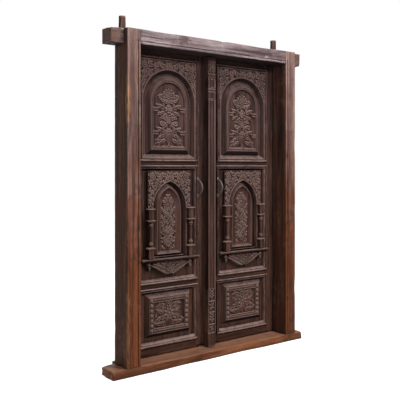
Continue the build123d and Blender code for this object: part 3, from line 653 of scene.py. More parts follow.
counts = [weathered("left_jamb", "jamb", arris=0.006, gouges=left_gouges, nick=0.005,
                    worn_line=(outer, front, 0.045)),
          weathered("right_jamb", "shaded jamb", arris=0.005, gouges=right_gouges, nick=0.004,
                    worn_line=(-outer, front, 0.03)),
          weathered("head", "head", arris=0.005, gouges=head_gouges, nick=0.005),
          weathered("sill", "sill", arris=0.008, gouges=sill_gouges, nick=0.006, wave=0.002,
                    crisp_from=sill_high.y - 0.03)]
print("faces in the frame's timbers:", counts)

# %% The timbers of the leaves
foot_drop = 0.003
wider = {"left": (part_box("left_meeting_stile")[1].x, 0.0038),
         "right": (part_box("right_meeting_stile")[0].x, -0.0015)}
total = 0
for side in ("left", "right"):
    for rail in ("bottom", "lock", "frieze", "top"):
        total += weathered(side + "_" + rail + "_rail", "leaf level", arris=0.002,
                           drop=foot_drop if rail == "bottom" else 0.0)
    for stile in ("hanging", "meeting"):
        total += weathered(side + "_" + stile + "_stile", "leaf upright", arris=0.002,
                           shortest=0.3, drop=foot_drop, wider=wider[side] if stile == "meeting" else None)
    for level in ("upper", "middle", "lower"):
        total += weathered(side + "_" + level + "_moulding", "moulding", arris=0.0012,
                           wave=0.0006, nick=0.002, pitch=(0.02, 0.1, 0.02), shortest=0.1)
    total += weathered(side + "_shelf", "leaf level", arris=0.003, nick=0.004)
    for end in ("upper", "lower"):
        total += weathered(side + "_" + end + "_pivot_block", "block", arris=0.004)
print("faces in the leaves' timbers:", total)

# %% [markdown]
# ## Carving kit
# A carver works a panel from one side, so a panel is a sheet of heights seen from the front: no cut
# goes under itself. Each stamp below (leaf, stem, scroll, boss, flower) raises part of that sheet, and a
# later stamp lies over an earlier one with a narrow cut between them. Patterns are drawn in millimetres,
# across from the middle of a bay and up from the floor.

# %% Stamps
MM = 0.001
FAN = (-2, 2, -1, 1, 0)
rng = np.random.default_rng(11)


def ripple(shape, cells):
    """Smooth seeded noise between 0 and 1, with about that many lumps across."""
    rows, columns = shape
    lumps = rng.random((cells + 2, cells + 2))
    down = np.linspace(0, cells, rows)
    over = np.linspace(0, cells, columns)
    i, j = np.clip(down.astype(int), 0, cells), np.clip(over.astype(int), 0, cells)
    a, b = down - i, over - j
    a, b = (a * a * (3 - 2 * a))[:, None], (b * b * (3 - 2 * b))[None, :]
    near, far = lumps[i][:, j], lumps[i][:, j + 1]
    near2, far2 = lumps[i + 1][:, j], lumps[i + 1][:, j + 1]
    return (near * (1 - b) + far * b) * (1 - a) + (near2 * (1 - b) + far2 * b) * a


def neighbours(grid):
    """The sum of the four points round each point of a grid."""
    wide = np.pad(grid, 1, mode="edge")
    return wide[:-2, 1:-1] + wide[2:, 1:-1] + wide[1:-1, :-2] + wide[1:-1, 2:]


class Sheet:
    """A panel's face as a grid of heights, in millimetres."""

    def __init__(self, u0, u1, v0, v1, pitch):
        columns = int(round((u1 - u0) / pitch)) + 1
        rows = int(round((v1 - v0) / pitch)) + 1
        self.u, self.v = np.meshgrid(np.linspace(u0, u1, columns), np.linspace(v0, v1, rows))
        self.h = np.zeros_like(self.u)

    def middles(self):
        """Where the middle of each cell lies, across and up."""
        return [(grid[:-1, :-1] + grid[1:, 1:]) / 2 for grid in (self.u, self.v)]

    def lay(self, shape, share):
        """Lay a stamp over the sheet. share is 1 in its middle, 0 on its outline, negative outside."""
        cut = (share < 0) & (share > -0.2)
        self.h = np.where(cut, self.h * 0.45, self.h)
        self.h = np.where(share > 0, np.maximum(self.h * 0.35, shape), self.h)

    def leaf(self, u, v, length, width, angle, height, curl=0.0, lobes=4):
        """A lobed leaf with a midrib; curl bends its spine, in degrees from stalk to tip."""
        c, s = cos(radians(angle)), sin(radians(angle))
        x, y = (self.u - u) * c + (self.v - v) * s, (self.v - v) * c - (self.u - u) * s
        if abs(curl) > 1:
            bend = length / radians(curl)
            t = np.arctan2(x, (bend - y) * np.sign(bend)) / radians(abs(curl))
            w = (abs(bend) - np.hypot(x, bend - y)) * np.sign(bend)
        else:
            t, w = x / length, y
        t = np.where((t > -0.2) & (t < 1.2), t, -0.2)
        inside = np.clip(t, 0, 1)
        half = width / 2 * np.sin(pi * inside ** 0.7) ** 0.8
        half = half * (0.84 + 0.16 * np.abs(np.cos(pi * lobes * inside))) + 0.01
        across = np.clip(w / half, -3, 3)
        share = np.where((t > 0) & (t < 1), 1 - across ** 2, -1)
        dome = np.sqrt(np.clip(share, 0, 1)) * (0.6 + 0.4 * np.sin(pi * inside))
        veins = 0.30 * np.exp(-((w / (0.11 * width)) ** 2))
        veins = veins + 0.16 * (0.5 + 0.5 * np.cos(2 * pi * (inside * lobes - np.abs(across) * 0.6)))
        self.lay(height * (dome - veins * dome), share)

    def stem(self, points, widths, height):
        """A half-round stem through points, tapering along widths."""
        points = np.array(points, float)
        widths = np.interp(np.linspace(0, 1, len(points)), np.linspace(0, 1, len(widths)), widths)
        best = np.full_like(self.u, -9.0)
        for k in range(len(points) - 1):
            a, d = points[k], points[k + 1] - points[k]
            t = np.clip(((self.u - a[0]) * d[0] + (self.v - a[1]) * d[1]) / (d @ d + 1e-9), 0, 1)
            gap = np.hypot(self.u - a[0] - t * d[0], self.v - a[1] - t * d[1])
            half = (widths[k] * (1 - t) + widths[k + 1] * t) / 2
            best = np.maximum(best, 1 - (gap / half) ** 2)
        self.lay(height * np.sqrt(np.clip(best, 0, 1)), best)

    def scroll(self, u, v, radius, turns, start, width, height):
        """A stem rolled up into a spiral, with a round eye."""
        a = np.linspace(0, 1, int(14 * abs(turns)) + 6)
        r = radius * (1 - 0.86 * a)
        way = np.radians(start) + 2 * pi * turns * a
        self.stem(np.c_[u + r * np.cos(way), v + r * np.sin(way)], (width, width * 0.55), height)
        self.boss(u, v, radius * 0.2, height)

    def boss(self, u, v, radius, height):
        """A round button."""
        share = 1 - ((self.u - u) ** 2 + (self.v - v) ** 2) / radius ** 2
        self.lay(height * np.sqrt(np.clip(share, 0, 1)), share)

    def flower(self, u, v, radius, petals, height, turn=0.0):
        """A round flower whose petals have a groove each, about a boss."""
        r = np.hypot(self.u - u, self.v - v) / radius
        way = np.arctan2(self.v - v, self.u - u) - radians(turn)
        lobe = np.abs(np.cos(petals * way / 2))
        share = 1 - (r / (0.72 + 0.28 * lobe ** 0.8)) ** 2
        sunk = 0.55 + 0.45 * np.clip(r * 1.6, 0, 1)
        dome = np.sqrt(np.clip(share, 0, 1)) * (0.45 + 0.55 * lobe ** 0.6) * sunk
        self.lay(height * dome * (1 - 0.22 * lobe ** 12), share)
        self.boss(u, v, radius * 0.27, height * 0.95)

    def pair(self, stamp, u, v, *sizes, **more):
        """The same stamp on both sides of the middle. The third size is its angle or start."""
        stamp(u, v, *sizes, **more)
        flipped = list(sizes)
        if stamp == self.leaf:
            flipped[2] = 180 - sizes[2]
            more = dict(more, curl=-more.get("curl", 0.0))
        if stamp == self.scroll:
            flipped[1], flipped[2] = -sizes[1], 180 - sizes[2]
        stamp(-u, v, *flipped, **more)

    def foliage(self, where, pitch, height, seed, slim=0.62):
        """Small curled leaves on a jittered grid, alike on both sides, wherever where(u, v) allows."""
        draw = np.random.default_rng(seed)
        rows = int((self.v.max() - self.v.min()) / pitch) + 1
        columns = int(self.u.max() / pitch) + 2
        spots = [(row, column) for row in range(rows) for column in range(columns)]
        for number in draw.permutation(len(spots)):
            row, column = spots[number]
            u = (column + 0.5 * (row % 2)) * pitch + draw.uniform(-0.2, 0.2) * pitch
            v = self.v.min() + (row + 0.5) * pitch + draw.uniform(-0.2, 0.2) * pitch
            turn = 60 * ((row + 2 * column) % 6) + draw.uniform(-25, 25)
            bend = 75 * (-1) ** (row + column)
            if where(u, v):
                self.pair(self.leaf, u, v, 1.7 * pitch, slim * pitch, turn, height, curl=bend, lobes=2)
        for row, column in spots[::3]:
            u = (column + 0.25 + 0.5 * (row % 2)) * pitch
            v = self.v.min() + (row + 0.9) * pitch
            if where(u, v):
                self.pair(self.boss, u, v, 0.2 * pitch, height)

    def worn(self, loss=0.22):
        """Rub the carving down unevenly and take the sharpness off its edges."""
        self.h = 0.5 * self.h + 0.125 * neighbours(self.h)
        self.h = self.h * (1 - loss * ripple(self.h.shape, 9)) + 0.25 * ripple(self.h.shape, 60)


print("stamps:", [name for name in vars(Sheet) if not name.startswith("_")])

# %% [markdown]
# ## From drawings to solid wood
# A sheet becomes a thin slab: its carved face, a skirt round it and a flat back. Outlines that step
# in and out, such as a raised panel or an arch's splay, are drawn once as a loop of points and then
# repeated at other depths, and the loops are joined by faces.

# %% Slabs, loops and boxes
def new_piece(name, parts, material):
    """One mesh object from parts, each (points, faces, crest), in millimetres."""
    points, faces, crest = [], [], []
    for part_points, part_faces, part_crest in parts:
        shift = len(points)
        points.extend(part_points)
        faces.extend([tuple(shift + corner for corner in face) for face in part_faces])
        crest.extend(part_crest)
    mesh = bpy.data.meshes.new(name)
    mesh.from_pydata([tuple(MM * value for value in point) for point in points], [], faces)
    layer = mesh.attributes.new("crest", "FLOAT", "POINT")
    layer.data.foreach_set("value", np.array(crest, np.float32))
    made = bmesh.new()
    made.from_mesh(mesh)
    bmesh.ops.recalc_face_normals(made, faces=made.faces)
    made.to_mesh(mesh)
    made.free()
    mesh.materials.append(material)
    piece = bpy.data.objects.new(name, mesh)
    bpy.context.scene.collection.objects.link(piece)
    return piece


BLUR_PASSES = 9
FLAT_CREST, CREST_GAIN = 0.43, 2.5
SKIRT_CREST = 0.45


def hollows(sheet, full):
    """How far each point stands above (towards 1) or below (towards 0) its surroundings. The carved wood
    turns it into painted shade in the hollows and into wear and a painted highlight on the crests.
    """
    around = sheet.h
    for _ in range(BLUR_PASSES):
        around = (neighbours(around) + around) / 5
    return np.clip(FLAT_CREST + CREST_GAIN * (sheet.h - around) / full, 0, 1)


def joined(cells):
    """The same cells with a neighbour added wherever two touch only at a corner."""
    cells = cells.copy()
    for _ in range(20):
        a, b, c, d = cells[:-1, :-1], cells[:-1, 1:], cells[1:, :-1], cells[1:, 1:]
        first, second = a & d & ~b & ~c, b & c & ~a & ~d
        if not (first.any() or second.any()):
            break
        cells[:-1, 1:] |= first
        cells[:-1, :-1] |= second
    return cells


def slab(sheet, centre, front, back, full, keep=None):
    """A sheet's face at depth front, its skirt and its back. full is the height that counts as a whole
    crest, and keep marks the cells that are wood."""
    rows, columns = sheet.u.shape
    cells = np.ones((rows - 1, columns - 1), bool) if keep is None else joined(keep)
    cavity = hollows(sheet, full)
    number = np.full((rows, columns), -1)
    quads = np.argwhere(cells)
    for dr, dc in ((0, 0), (0, 1), (1, 1), (1, 0)):
        number[quads[:, 0] + dr, quads[:, 1] + dc] = 0
    used = np.argwhere(number == 0)
    number[used[:, 0], used[:, 1]] = np.arange(len(used))
    rr, cc = used[:, 0], used[:, 1]
    points = np.c_[centre + sheet.u[rr, cc], front - sheet.h[rr, cc], sheet.v[rr, cc]].tolist()
    crest = cavity[rr, cc].tolist()
    r, c = quads[:, 0], quads[:, 1]
    corners = np.c_[number[r, c], number[r, c + 1], number[r + 1, c + 1], number[r + 1, c]]
    faces = [tuple(q) for q in corners.tolist()]
    seen = dict.fromkeys(edge for a, b, d, e in faces for edge in ((a, b), (b, d), (d, e), (e, a)))
    rim = [edge for edge in seen if (edge[1], edge[0]) not in seen]
    follow = dict(rim)
    behind = {}
    for a in follow:
        behind[a] = len(points)
        points.append([points[a][0], back, points[a][2]])
        crest.append(SKIRT_CREST)
    for a, b in rim:
        faces.append((b, a, behind[a], behind[b]))
    while follow:
        start, step = follow.popitem()
        loop = [behind[start]]
        while step != start:
            loop.append(behind[step])
            step = follow.pop(step)
        faces.append(tuple(loop[::-1]))
    return points, faces, crest


def gentle(crest):
    """A crest value drawn closer to plain wood, because the light does most of the work. The crest mask
    gives painted shade in hollows, and wear and a painted highlight on crests.
    """
    return 0.45 + 0.42 * (crest - 0.4)


def box_part(x0, x1, y0, y1, z0, z1, crest=0.4):
    """A squared part between two places across, in either order, two depths and two heights."""
    points = [(x, y, z) for x in sorted((x0, x1)) for y in (y0, y1) for z in (z0, z1)]
    faces = [(0, 1, 3, 2), (4, 6, 7, 5), (0, 4, 5, 1), (2, 3, 7, 6), (0, 2, 6, 4), (1, 5, 7, 3)]
    return points, faces, [gentle(crest)] * 8


def ring_faces(rings, count, closed=False):
    """Faces that join rings of count points each; the two ends are capped, or joined when closed."""
    faces = []
    for ring in range(rings if closed else rings - 1):
        here, there = ring * count, (ring + 1) % rings * count
        for i in range(count):
            j = (i + 1) % count
            faces.append((here + i, here + j, there + j, there + i))
    if not closed:
        faces.append(tuple(range(count))[::-1])
        faces.append(tuple(range((rings - 1) * count, rings * count)))
    return faces


def loops(rings, centre, closed=False):
    """Faces between outlines that have equal counts of points. rings are (outline, depth, crest)."""
    points, crest = [], []
    for outline, depth, high in rings:
        points.extend([(centre + u, depth, v) for u, v in outline])
        crest.extend([gentle(high)] * len(outline))
    return points, ring_faces(len(rings), len(rings[0][0]), closed), crest


SIDE_POINTS, ARC_POINTS = 9, 21


def arch_loop(half, foot, spring, centre_out=0.0):
    """A round or pointed arch as a loop of points. centre_out moves each arc's centre past the middle."""
    radius = half + centre_out
    crown = np.arccos(centre_out / radius) if centre_out else pi / 2
    side = np.linspace(foot, spring, SIDE_POINTS)[:-1]
    way = np.linspace(0, crown, ARC_POINTS)
    arc = np.c_[radius * np.cos(way) - centre_out, spring + radius * np.sin(way)]
    right = np.vstack([np.c_[np.full(len(side), half), side], arc])
    left = right[::-1][1:] * (-1, 1)
    foot_u = np.linspace(-half, half, SIDE_POINTS)[1:-1]
    return [tuple(p) for p in np.vstack([right, left, np.c_[foot_u, np.full(len(foot_u), foot)]])]


def arch_rings(half, foot, spring, face, steps):
    """Round arches inside one another; steps are (how much smaller, how far before the face, crest)."""
    return [(arch_loop(half - fall, foot + fall, spring), face - proud, high)
            for fall, proud, high in steps]


def square_loop(half, foot, top):
    """A rectangle as a loop of points."""
    t = np.linspace(0, 1, 5)[:-1]
    sides = [np.c_[half - 0 * t, foot + (top - foot) * t], np.c_[half - 2 * half * t, top + 0 * t],
             np.c_[-half + 0 * t, top - (top - foot) * t], np.c_[-half + 2 * half * t, foot + 0 * t]]
    return [tuple(p) for p in np.vstack(sides)]


def both_leaves(base, parts, material):
    """A left piece and its mirror image, each in place of its CAD node and riding on its leaf."""
    for side, sign in (("left", 1), ("right", -1)):
        turned = [([(sign * x, y, z) for x, y, z in points], faces, crest)
                  for points, faces, crest in parts]
        piece = new_piece(side + "_" + base + "_carved", turned, material)
        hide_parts(side + "_" + base)
        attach(piece, body_of(side + "_" + base))
    print(base, len(piece.data.polygons), "faces a side")


def corners(name):
    """A CAD node's box in millimetres."""
    low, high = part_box(name)
    return [value / MM for value in low], [value / MM for value in high]


print("wood kit ready")

# %% [markdown]
# ## The arched panel
# A board raised in the middle, with a narrow groove and a bead round a sunk field. In the field a
# bouquet stands in a pot: two large flowers over each other with a small one between them, foliage at
# both sides, and a rosette of layered petals under the arch.

# %% Measure the upper bay
frame_low, frame_high = corners("left_arch_frame")
board_low, board_high = corners("left_arch_panel")
bay = (frame_low[0] + frame_high[0]) / 2
board_thick, frame_thick = 15.7, 25
let_in, head_space, foot_space = 9.7, 79, 20
board_face = board_high[1] - board_thick
frame_face = board_face - frame_thick
arch_half = 221
arch_spring = board_high[2] - let_in - head_space - arch_half
arch_foot = board_low[2] + let_in + foot_space
print("bay middle", bay, "board face", board_face, "springing", arch_spring)

# %% Carve the bouquet
field_half = 129
panel_foot = arch_foot + 22
slope, bead, groove, field_depth = 31, 17, 11, 16
field_foot = panel_foot + slope + bead + groove
field_floor = board_face - field_depth
bouquet_tall = arch_spring + 112 - field_foot
flower_levels = (0.225, 0.61)
rosette_level = 0.85


def spot(share):
    """A height in the field: 0 at its foot, 1 at the bouquet's top."""
    return field_foot + bouquet_tall * share


def bouquet():
    """The sheet of the sunk field."""
    sheet = Sheet(-field_half, field_half, field_foot, arch_spring + field_half, pitch=2.0)
    full = 12.0

    def in_field(u, v):
        return u < 86 - 0.1 * (v - field_foot) and spot(0.12) < v < spot(0.9)

    sheet.foliage(in_field, 24, full * 0.7, 5, 0.75)
    for level, length, angle, curl in ((0.14, 70, 34, 50), (0.32, 62, 20, 46), (0.42, 70, 40, -46),
                                       (0.50, 58, 8, 30)):
        sheet.pair(sheet.leaf, 10, spot(level), length, 34, angle, full * 0.85, curl=curl, lobes=3)
    sheet.pair(sheet.scroll, 62, spot(0.38), 20, 1.2, 200, 11, full * 0.8)
    for level in flower_levels:
        sheet.pair(sheet.leaf, 26, spot(level) + 4, 92, 42, 10, full * 0.9, curl=24, lobes=3)
        sheet.pair(sheet.leaf, 30, spot(level) - 20, 76, 30, -8, full * 0.8, curl=-24, lobes=3)
    low_flower, high_flower = (spot(level) for level in flower_levels)
    sheet.flower(0, low_flower, 36, 8, full, turn=22)
    sheet.pair(sheet.boss, 24, spot(0.47), 8, full)
    sheet.flower(0, spot(0.41), 24, 5, full * 0.9)
    sheet.flower(0, high_flower, 38, 4, full)
    sheet.flower(0, high_flower, 20, 8, full)
    sheet.pair(sheet.leaf, 2, spot(0.725), 104, 30, -4, full * 0.9, curl=64, lobes=4)
    sheet.pair(sheet.leaf, 50, spot(0.83), 46, 22, 30, full * 0.8, curl=-60, lobes=2)
    for turn in (-4, 4, -3, 3, -2, 2, -1, 1, 0):
        sheet.leaf(turn * 4, spot(rosette_level), 50, 32, 90 - turn * 29, full * (0.92 - 0.03 * abs(turn)),
                   lobes=1)
    sheet.flower(0, spot(rosette_level), 37, 8, full * 0.95)
    sheet.flower(0, spot(rosette_level), 20, 6, full)
    sheet.pair(sheet.leaf, 120, field_foot + 2, 112, 52, 160, full * 0.85, curl=-14, lobes=1)
    sheet.pair(sheet.leaf, 120, spot(0.085), 62, 28, 176, full * 0.7, lobes=2)
    sheet.stem([(0, spot(0.0)), (0, spot(0.04)), (0, spot(0.10)), (0, spot(0.14))], (30, 24, 50, 70), full)
    sheet.worn(loss=0.15)
    return sheet


sheet = bouquet()
middle_u, middle_v = sheet.middles()
inside = (middle_v < arch_spring) | (np.hypot(middle_u, middle_v - arch_spring) < field_half)
rings = arch_rings(arch_half - 33, panel_foot, arch_spring, board_face, (
    (-4, -1, 0.1), (0, 0, 0.1), (30, 27, 0.75), (32, 28, 0.9), (37, 28, 0.7), (40, 24, 0.0),
    (43, 27.5, 0.6), (47, 28, 0.9), (51, 27, 0.5), (61, field_depth, 0.0)))
parts = [box_part(board_low[0], board_high[0], board_face, board_high[1], board_low[2], board_high[2]),
         loops(rings, bay), slab(sheet, bay, field_floor, field_floor + 2, full=9.0, keep=inside)]
for side in (-1, 1):
    for level in flower_levels:
        x = bay + side * (field_half - 14)
        for half, proud, low in ((25, 28.4, 3), (19, 27, -15)):
            z = spot(level) + low
            parts.append(box_part(x - half, x + half, board_face - proud, field_floor, z, z + 10, 0.9))
both_leaves("arch_panel", parts, finishes["carved"])

# %% [markdown]
# ## The arched frame
# A board with a splayed round opening. A raised band follows the opening, small blocks stand at the
# springing, and the corners over the arch are filled with scrolls, leaves and a flower.

# %% Carve the corners over the arch
top_edge = frame_high[2]
reach_u = frame_high[0] - bay
block_top = board_high[2] - let_in - 202
hidden_back = board_face - 0.3


def arch_corners():
    """The sheet of the board over the springing of the arch."""
    sheet = Sheet(-reach_u, reach_u, block_top, top_edge, pitch=2.0)
    full = 9.0
    crown = arch_spring + arch_half

    def over_arch(u, v):
        return np.hypot(u, v - arch_spring) > arch_half + 20 and u < reach_u - 6 and v < top_edge - 8

    sheet.foliage(over_arch, 25, full * 0.7, 7, 0.75)
    for turn in (24, 36, 48, 60, 72):
        r = arch_half + 34
        u, v = r * cos(radians(turn)), arch_spring + r * sin(radians(turn))
        sheet.pair(sheet.leaf, u, v, 52, 28, turn + 62, full * 0.85, curl=60, lobes=3)
    for u, start in ((60, 180), (112, 160), (164, 200)):
        sheet.pair(sheet.scroll, u, top_edge - 32, 25, 1.1, start, 13, full * 0.9)
    for v in (top_edge - 100, top_edge - 148, top_edge - 194):
        sheet.pair(sheet.scroll, 208, v, 23, -1.1, 90, 12, full * 0.85)
        sheet.pair(sheet.leaf, 226, v - 24, 40, 20, 128, full * 0.85, curl=40)
    for u in (34, 86, 138, 186):
        sheet.pair(sheet.leaf, u, top_edge - 52, 46, 20, 64, full * 0.9, curl=-50)
    sheet.pair(sheet.leaf, 176, top_edge - 70, 50, 22, 214, full * 0.9, curl=30)
    sheet.pair(sheet.leaf, 186, top_edge - 84, 54, 22, 254, full * 0.9, curl=-30)
    sheet.pair(sheet.flower, 206, top_edge - 44, 29, 8, full)
    for turn in FAN:
        sheet.leaf(turn * 5, crown + 14, 48 - 4 * abs(turn), 19, 90 - turn * 30, full, curl=turn * 14)
    sheet.worn()
    return sheet


sheet = arch_corners()
middle_u, middle_v = sheet.middles()
wood_cells = np.where(middle_v > arch_spring, np.hypot(middle_u, middle_v - arch_spring), abs(middle_u))
wood_cells = wood_cells > arch_half + 8
ground_face = frame_face + 3.5
parts = [slab(sheet, bay, ground_face, ground_face + 14, full=6.0, keep=wood_cells)]
rings = arch_rings(arch_half, arch_foot, arch_spring, frame_face, (
    (-13, -21, 0.2), (-13, -1, 0.2), (-12, 2.5, 0.6), (-9, 4, 0.95), (-5, 4, 0.95), (-2, 2, 0.6),
    (0, -1, 0.3), (21, frame_face - hidden_back, 0.05)))
parts.append(loops(rings, bay, closed=True))
for side in (-1, 1):
    inner = bay + side * (arch_half + 2)
    parts.append(box_part(inner, bay + side * reach_u, frame_face + 2, hidden_back, frame_low[2],
                          block_top + 4, 0.3))
    for low, high, out in ((-48, -42, 6), (-42, -7, 4.5), (-7, 0, 6)):
        parts.append(box_part(inner, bay + side * (reach_u - 2), frame_face - out, frame_face + 2,
                              block_top + low, block_top + high, 0.8))
parts.append(box_part(frame_low[0], frame_high[0], frame_face + 2, hidden_back, frame_low[2],
                      arch_foot - 4, 0.3))
both_leaves("arch_frame", parts, finishes["carved"])

# %% [markdown]
# ## The pointed niche
# Two arcs that meet in a point. Each arc's centre lies past the middle, so every offset of the arch,
# in or out, keeps those centres and only changes the radius.

# %% Carve the foliage over the niche
niche_low, niche_high = corners("left_niche_surround")
niche_face = board_face - 32
niche_half, niche_rise = 140.0, 186.0
centre_out = (niche_rise ** 2 + niche_half ** 2) / (2 * niche_half) - niche_half
niche_foot = niche_low[2] + 6
niche_spring = niche_low[2] + 342
wide = niche_high[0] - bay
crown = niche_spring + niche_rise


def niche_corners():
    """The sheet of the block over the springing of the niche."""
    sheet = Sheet(-wide, wide, niche_spring + 4, niche_high[2], pitch=1.9)
    full = 8.5
    top = niche_high[2]

    def over_point(u, v):
        out = np.hypot(u + centre_out, v - niche_spring) > niche_half + centre_out + 13
        return out and u < wide - 9 and v < top - 9

    sheet.foliage(over_point, 19, full * 0.8, 3, 0.75)
    for turn in (14, 26, 38, 50):
        r = niche_half + centre_out + 24
        u, v = r * cos(radians(turn)) - centre_out, niche_spring + r * sin(radians(turn))
        sheet.pair(sheet.leaf, u, v, 40, 19, turn + 58, full * 0.8, curl=50)
    for u, v in ((52, 26), (100, 24)):
        sheet.pair(sheet.scroll, u, top - v, 21, 1.25, 170, 9, full * 0.85)
    for v in (92, 136, 178, 218):
        sheet.pair(sheet.scroll, 164, top - v, 15, -1.2, 100, 8, full * 0.8)
        sheet.pair(sheet.leaf, 150, top - v - 4, 34, 18, 236, full * 0.85, curl=30)
    sheet.pair(sheet.leaf, 118, top - 58, 44, 20, 206, full * 0.9, curl=30)
    sheet.pair(sheet.leaf, 128, top - 74, 50, 22, 244, full * 0.9, curl=-30)
    sheet.pair(sheet.leaf, 60, top - 46, 46, 20, 320, full * 0.9, curl=40)
    sheet.pair(sheet.leaf, 26, top - 30, 40, 18, 12, full * 0.9, curl=40)
    sheet.pair(sheet.flower, 150, top - 34, 27, 8, full)
    for turn in FAN:
        sheet.leaf(turn * 4, crown + 8, 58 - 5 * abs(turn), 18, 90 - turn * 28, full, curl=turn * 12)
    sheet.worn()
    return sheet


sheet = niche_corners()
middle_u, middle_v = sheet.middles()
wood_cells = np.hypot(abs(middle_u) + centre_out, middle_v - niche_spring) > niche_half + centre_out + 4
ground_face = niche_face + 3.0
parts = [slab(sheet, bay, ground_face, ground_face + 12, full=6.0, keep=wood_cells)]
rings = []
for out, depth, high in ((9, hidden_back, 0.1), (9, niche_face + 1, 0.3), (8, niche_face - 1.5, 0.7),
                         (6, niche_face - 2.5, 0.95), (3, niche_face - 2.5, 0.95),
                         (1, niche_face - 1, 0.6), (0, niche_face + 1, 0.3), (-11.7, hidden_back, 0.0)):
    foot = niche_low[2] + (2 if out < 0 else 1)
    rings.append((arch_loop(niche_half + out, foot, niche_spring, centre_out), depth, high))
parts.append(loops(rings, bay, closed=True))
for side in (-1, 1):
    parts.append(box_part(bay + side * (niche_half + 6), bay + side * wide, niche_face + 2, hidden_back,
                          niche_low[2], niche_spring + 8, 0.3))
parts.append(box_part(niche_low[0], niche_high[0], niche_face + 2, hidden_back, niche_low[2],
                      niche_low[2] + 1, 0.3))
both_leaves("niche_surround", parts, finishes["carved"])

# %% [markdown]
# ## The panel in the niche
# It rises to a thin crest and falls away again in a hollow to a narrow field, where a vine climbs
# with flowers on its stem and leaves between them.

# %% Carve the vine
vine_half = 63
vine_foot = niche_foot + 46
panel_floor = board_face - 6


def vine():
    """The sheet of the narrow field."""
    rise = sqrt((vine_half + centre_out) ** 2 - centre_out ** 2)
    sheet = Sheet(-vine_half, vine_half, vine_foot, niche_spring + rise, pitch=1.8)
    full = 11.0
    tall = niche_spring + rise - vine_foot

    def in_field(u, v):
        reach = vine_half - 9 if v < niche_spring else vine_half - 9 - 0.55 * (v - niche_spring)
        return u < reach and v > vine_foot + 8

    sheet.foliage(in_field, 18, full * 0.85, 9, 0.75)
    sway = np.linspace(0, 1, 60)
    for side in (-1, 1):
        line = np.c_[side * 22 * np.sin(sway * 5 * pi), vine_foot + tall * (0.03 + 0.84 * sway)]
        sheet.stem(line, (6, 5), full * 0.8)
    for number in range(5):
        v = vine_foot + tall * (0.115 + 0.168 * number)
        sheet.pair(sheet.leaf, 28, v - 8, 44, 17, 62, full * 0.9, curl=56, lobes=3)
        sheet.pair(sheet.leaf, 52, v + 22, 34, 15, 196, full * 0.85, curl=-40, lobes=2)
        sheet.pair(sheet.scroll, 34, v + tall * 0.07, 14, 1.2, 210, 6, full * 0.9)
        sheet.flower(0, v, 19 - 1.5 * number, 6, full, turn=13 * number)
    sheet.leaf(0, vine_foot + tall * 0.86, tall * 0.12, 22, 90, full)
    sheet.pair(sheet.leaf, 4, vine_foot + tall * 0.82, 40, 18, 48, full * 0.9, curl=24)
    sheet.worn(loss=0.15)
    return sheet


sheet = vine()
middle_u, middle_v = sheet.middles()
inside = np.hypot(abs(middle_u) + centre_out, middle_v - niche_spring) < vine_half + centre_out
inside |= middle_v < niche_spring
outer = niche_half - 17
rings = []
for fall, depth, high in ((0, 0, 0.1), (3, 4, 0.2), (20, 21, 0.6), (22, 22.5, 0.8), (24.5, 22.5, 0.8),
                          (27, 20, 0.5), (34, 13.5, 0.4), (44, 8.5, 0.4),
                          (outer - vine_half + 2, 6.2, 0.4)):
    foot = niche_foot + 2 + (0.4 * fall if fall < 22 else 9 + (fall - 22) * 0.9)
    rings.append((arch_loop(outer - fall, foot, niche_spring, centre_out), board_face - depth, high))
parts = [loops(rings, bay), slab(sheet, bay, panel_floor, panel_floor + 2, full=9.0, keep=inside)]
both_leaves("niche_panel", parts, finishes["carved"])

# %% [markdown]
# ## The carved swag under the shelf
# A garland of leaves hangs in a curve from two small flowers, with foliage between it and the shelf, a
# larger flower at its lowest point and a leaf that hangs down at each end.

# %% Carve the swag
apron_low, apron_high = corners("left_apron")
swag_half = apron_high[0] - bay


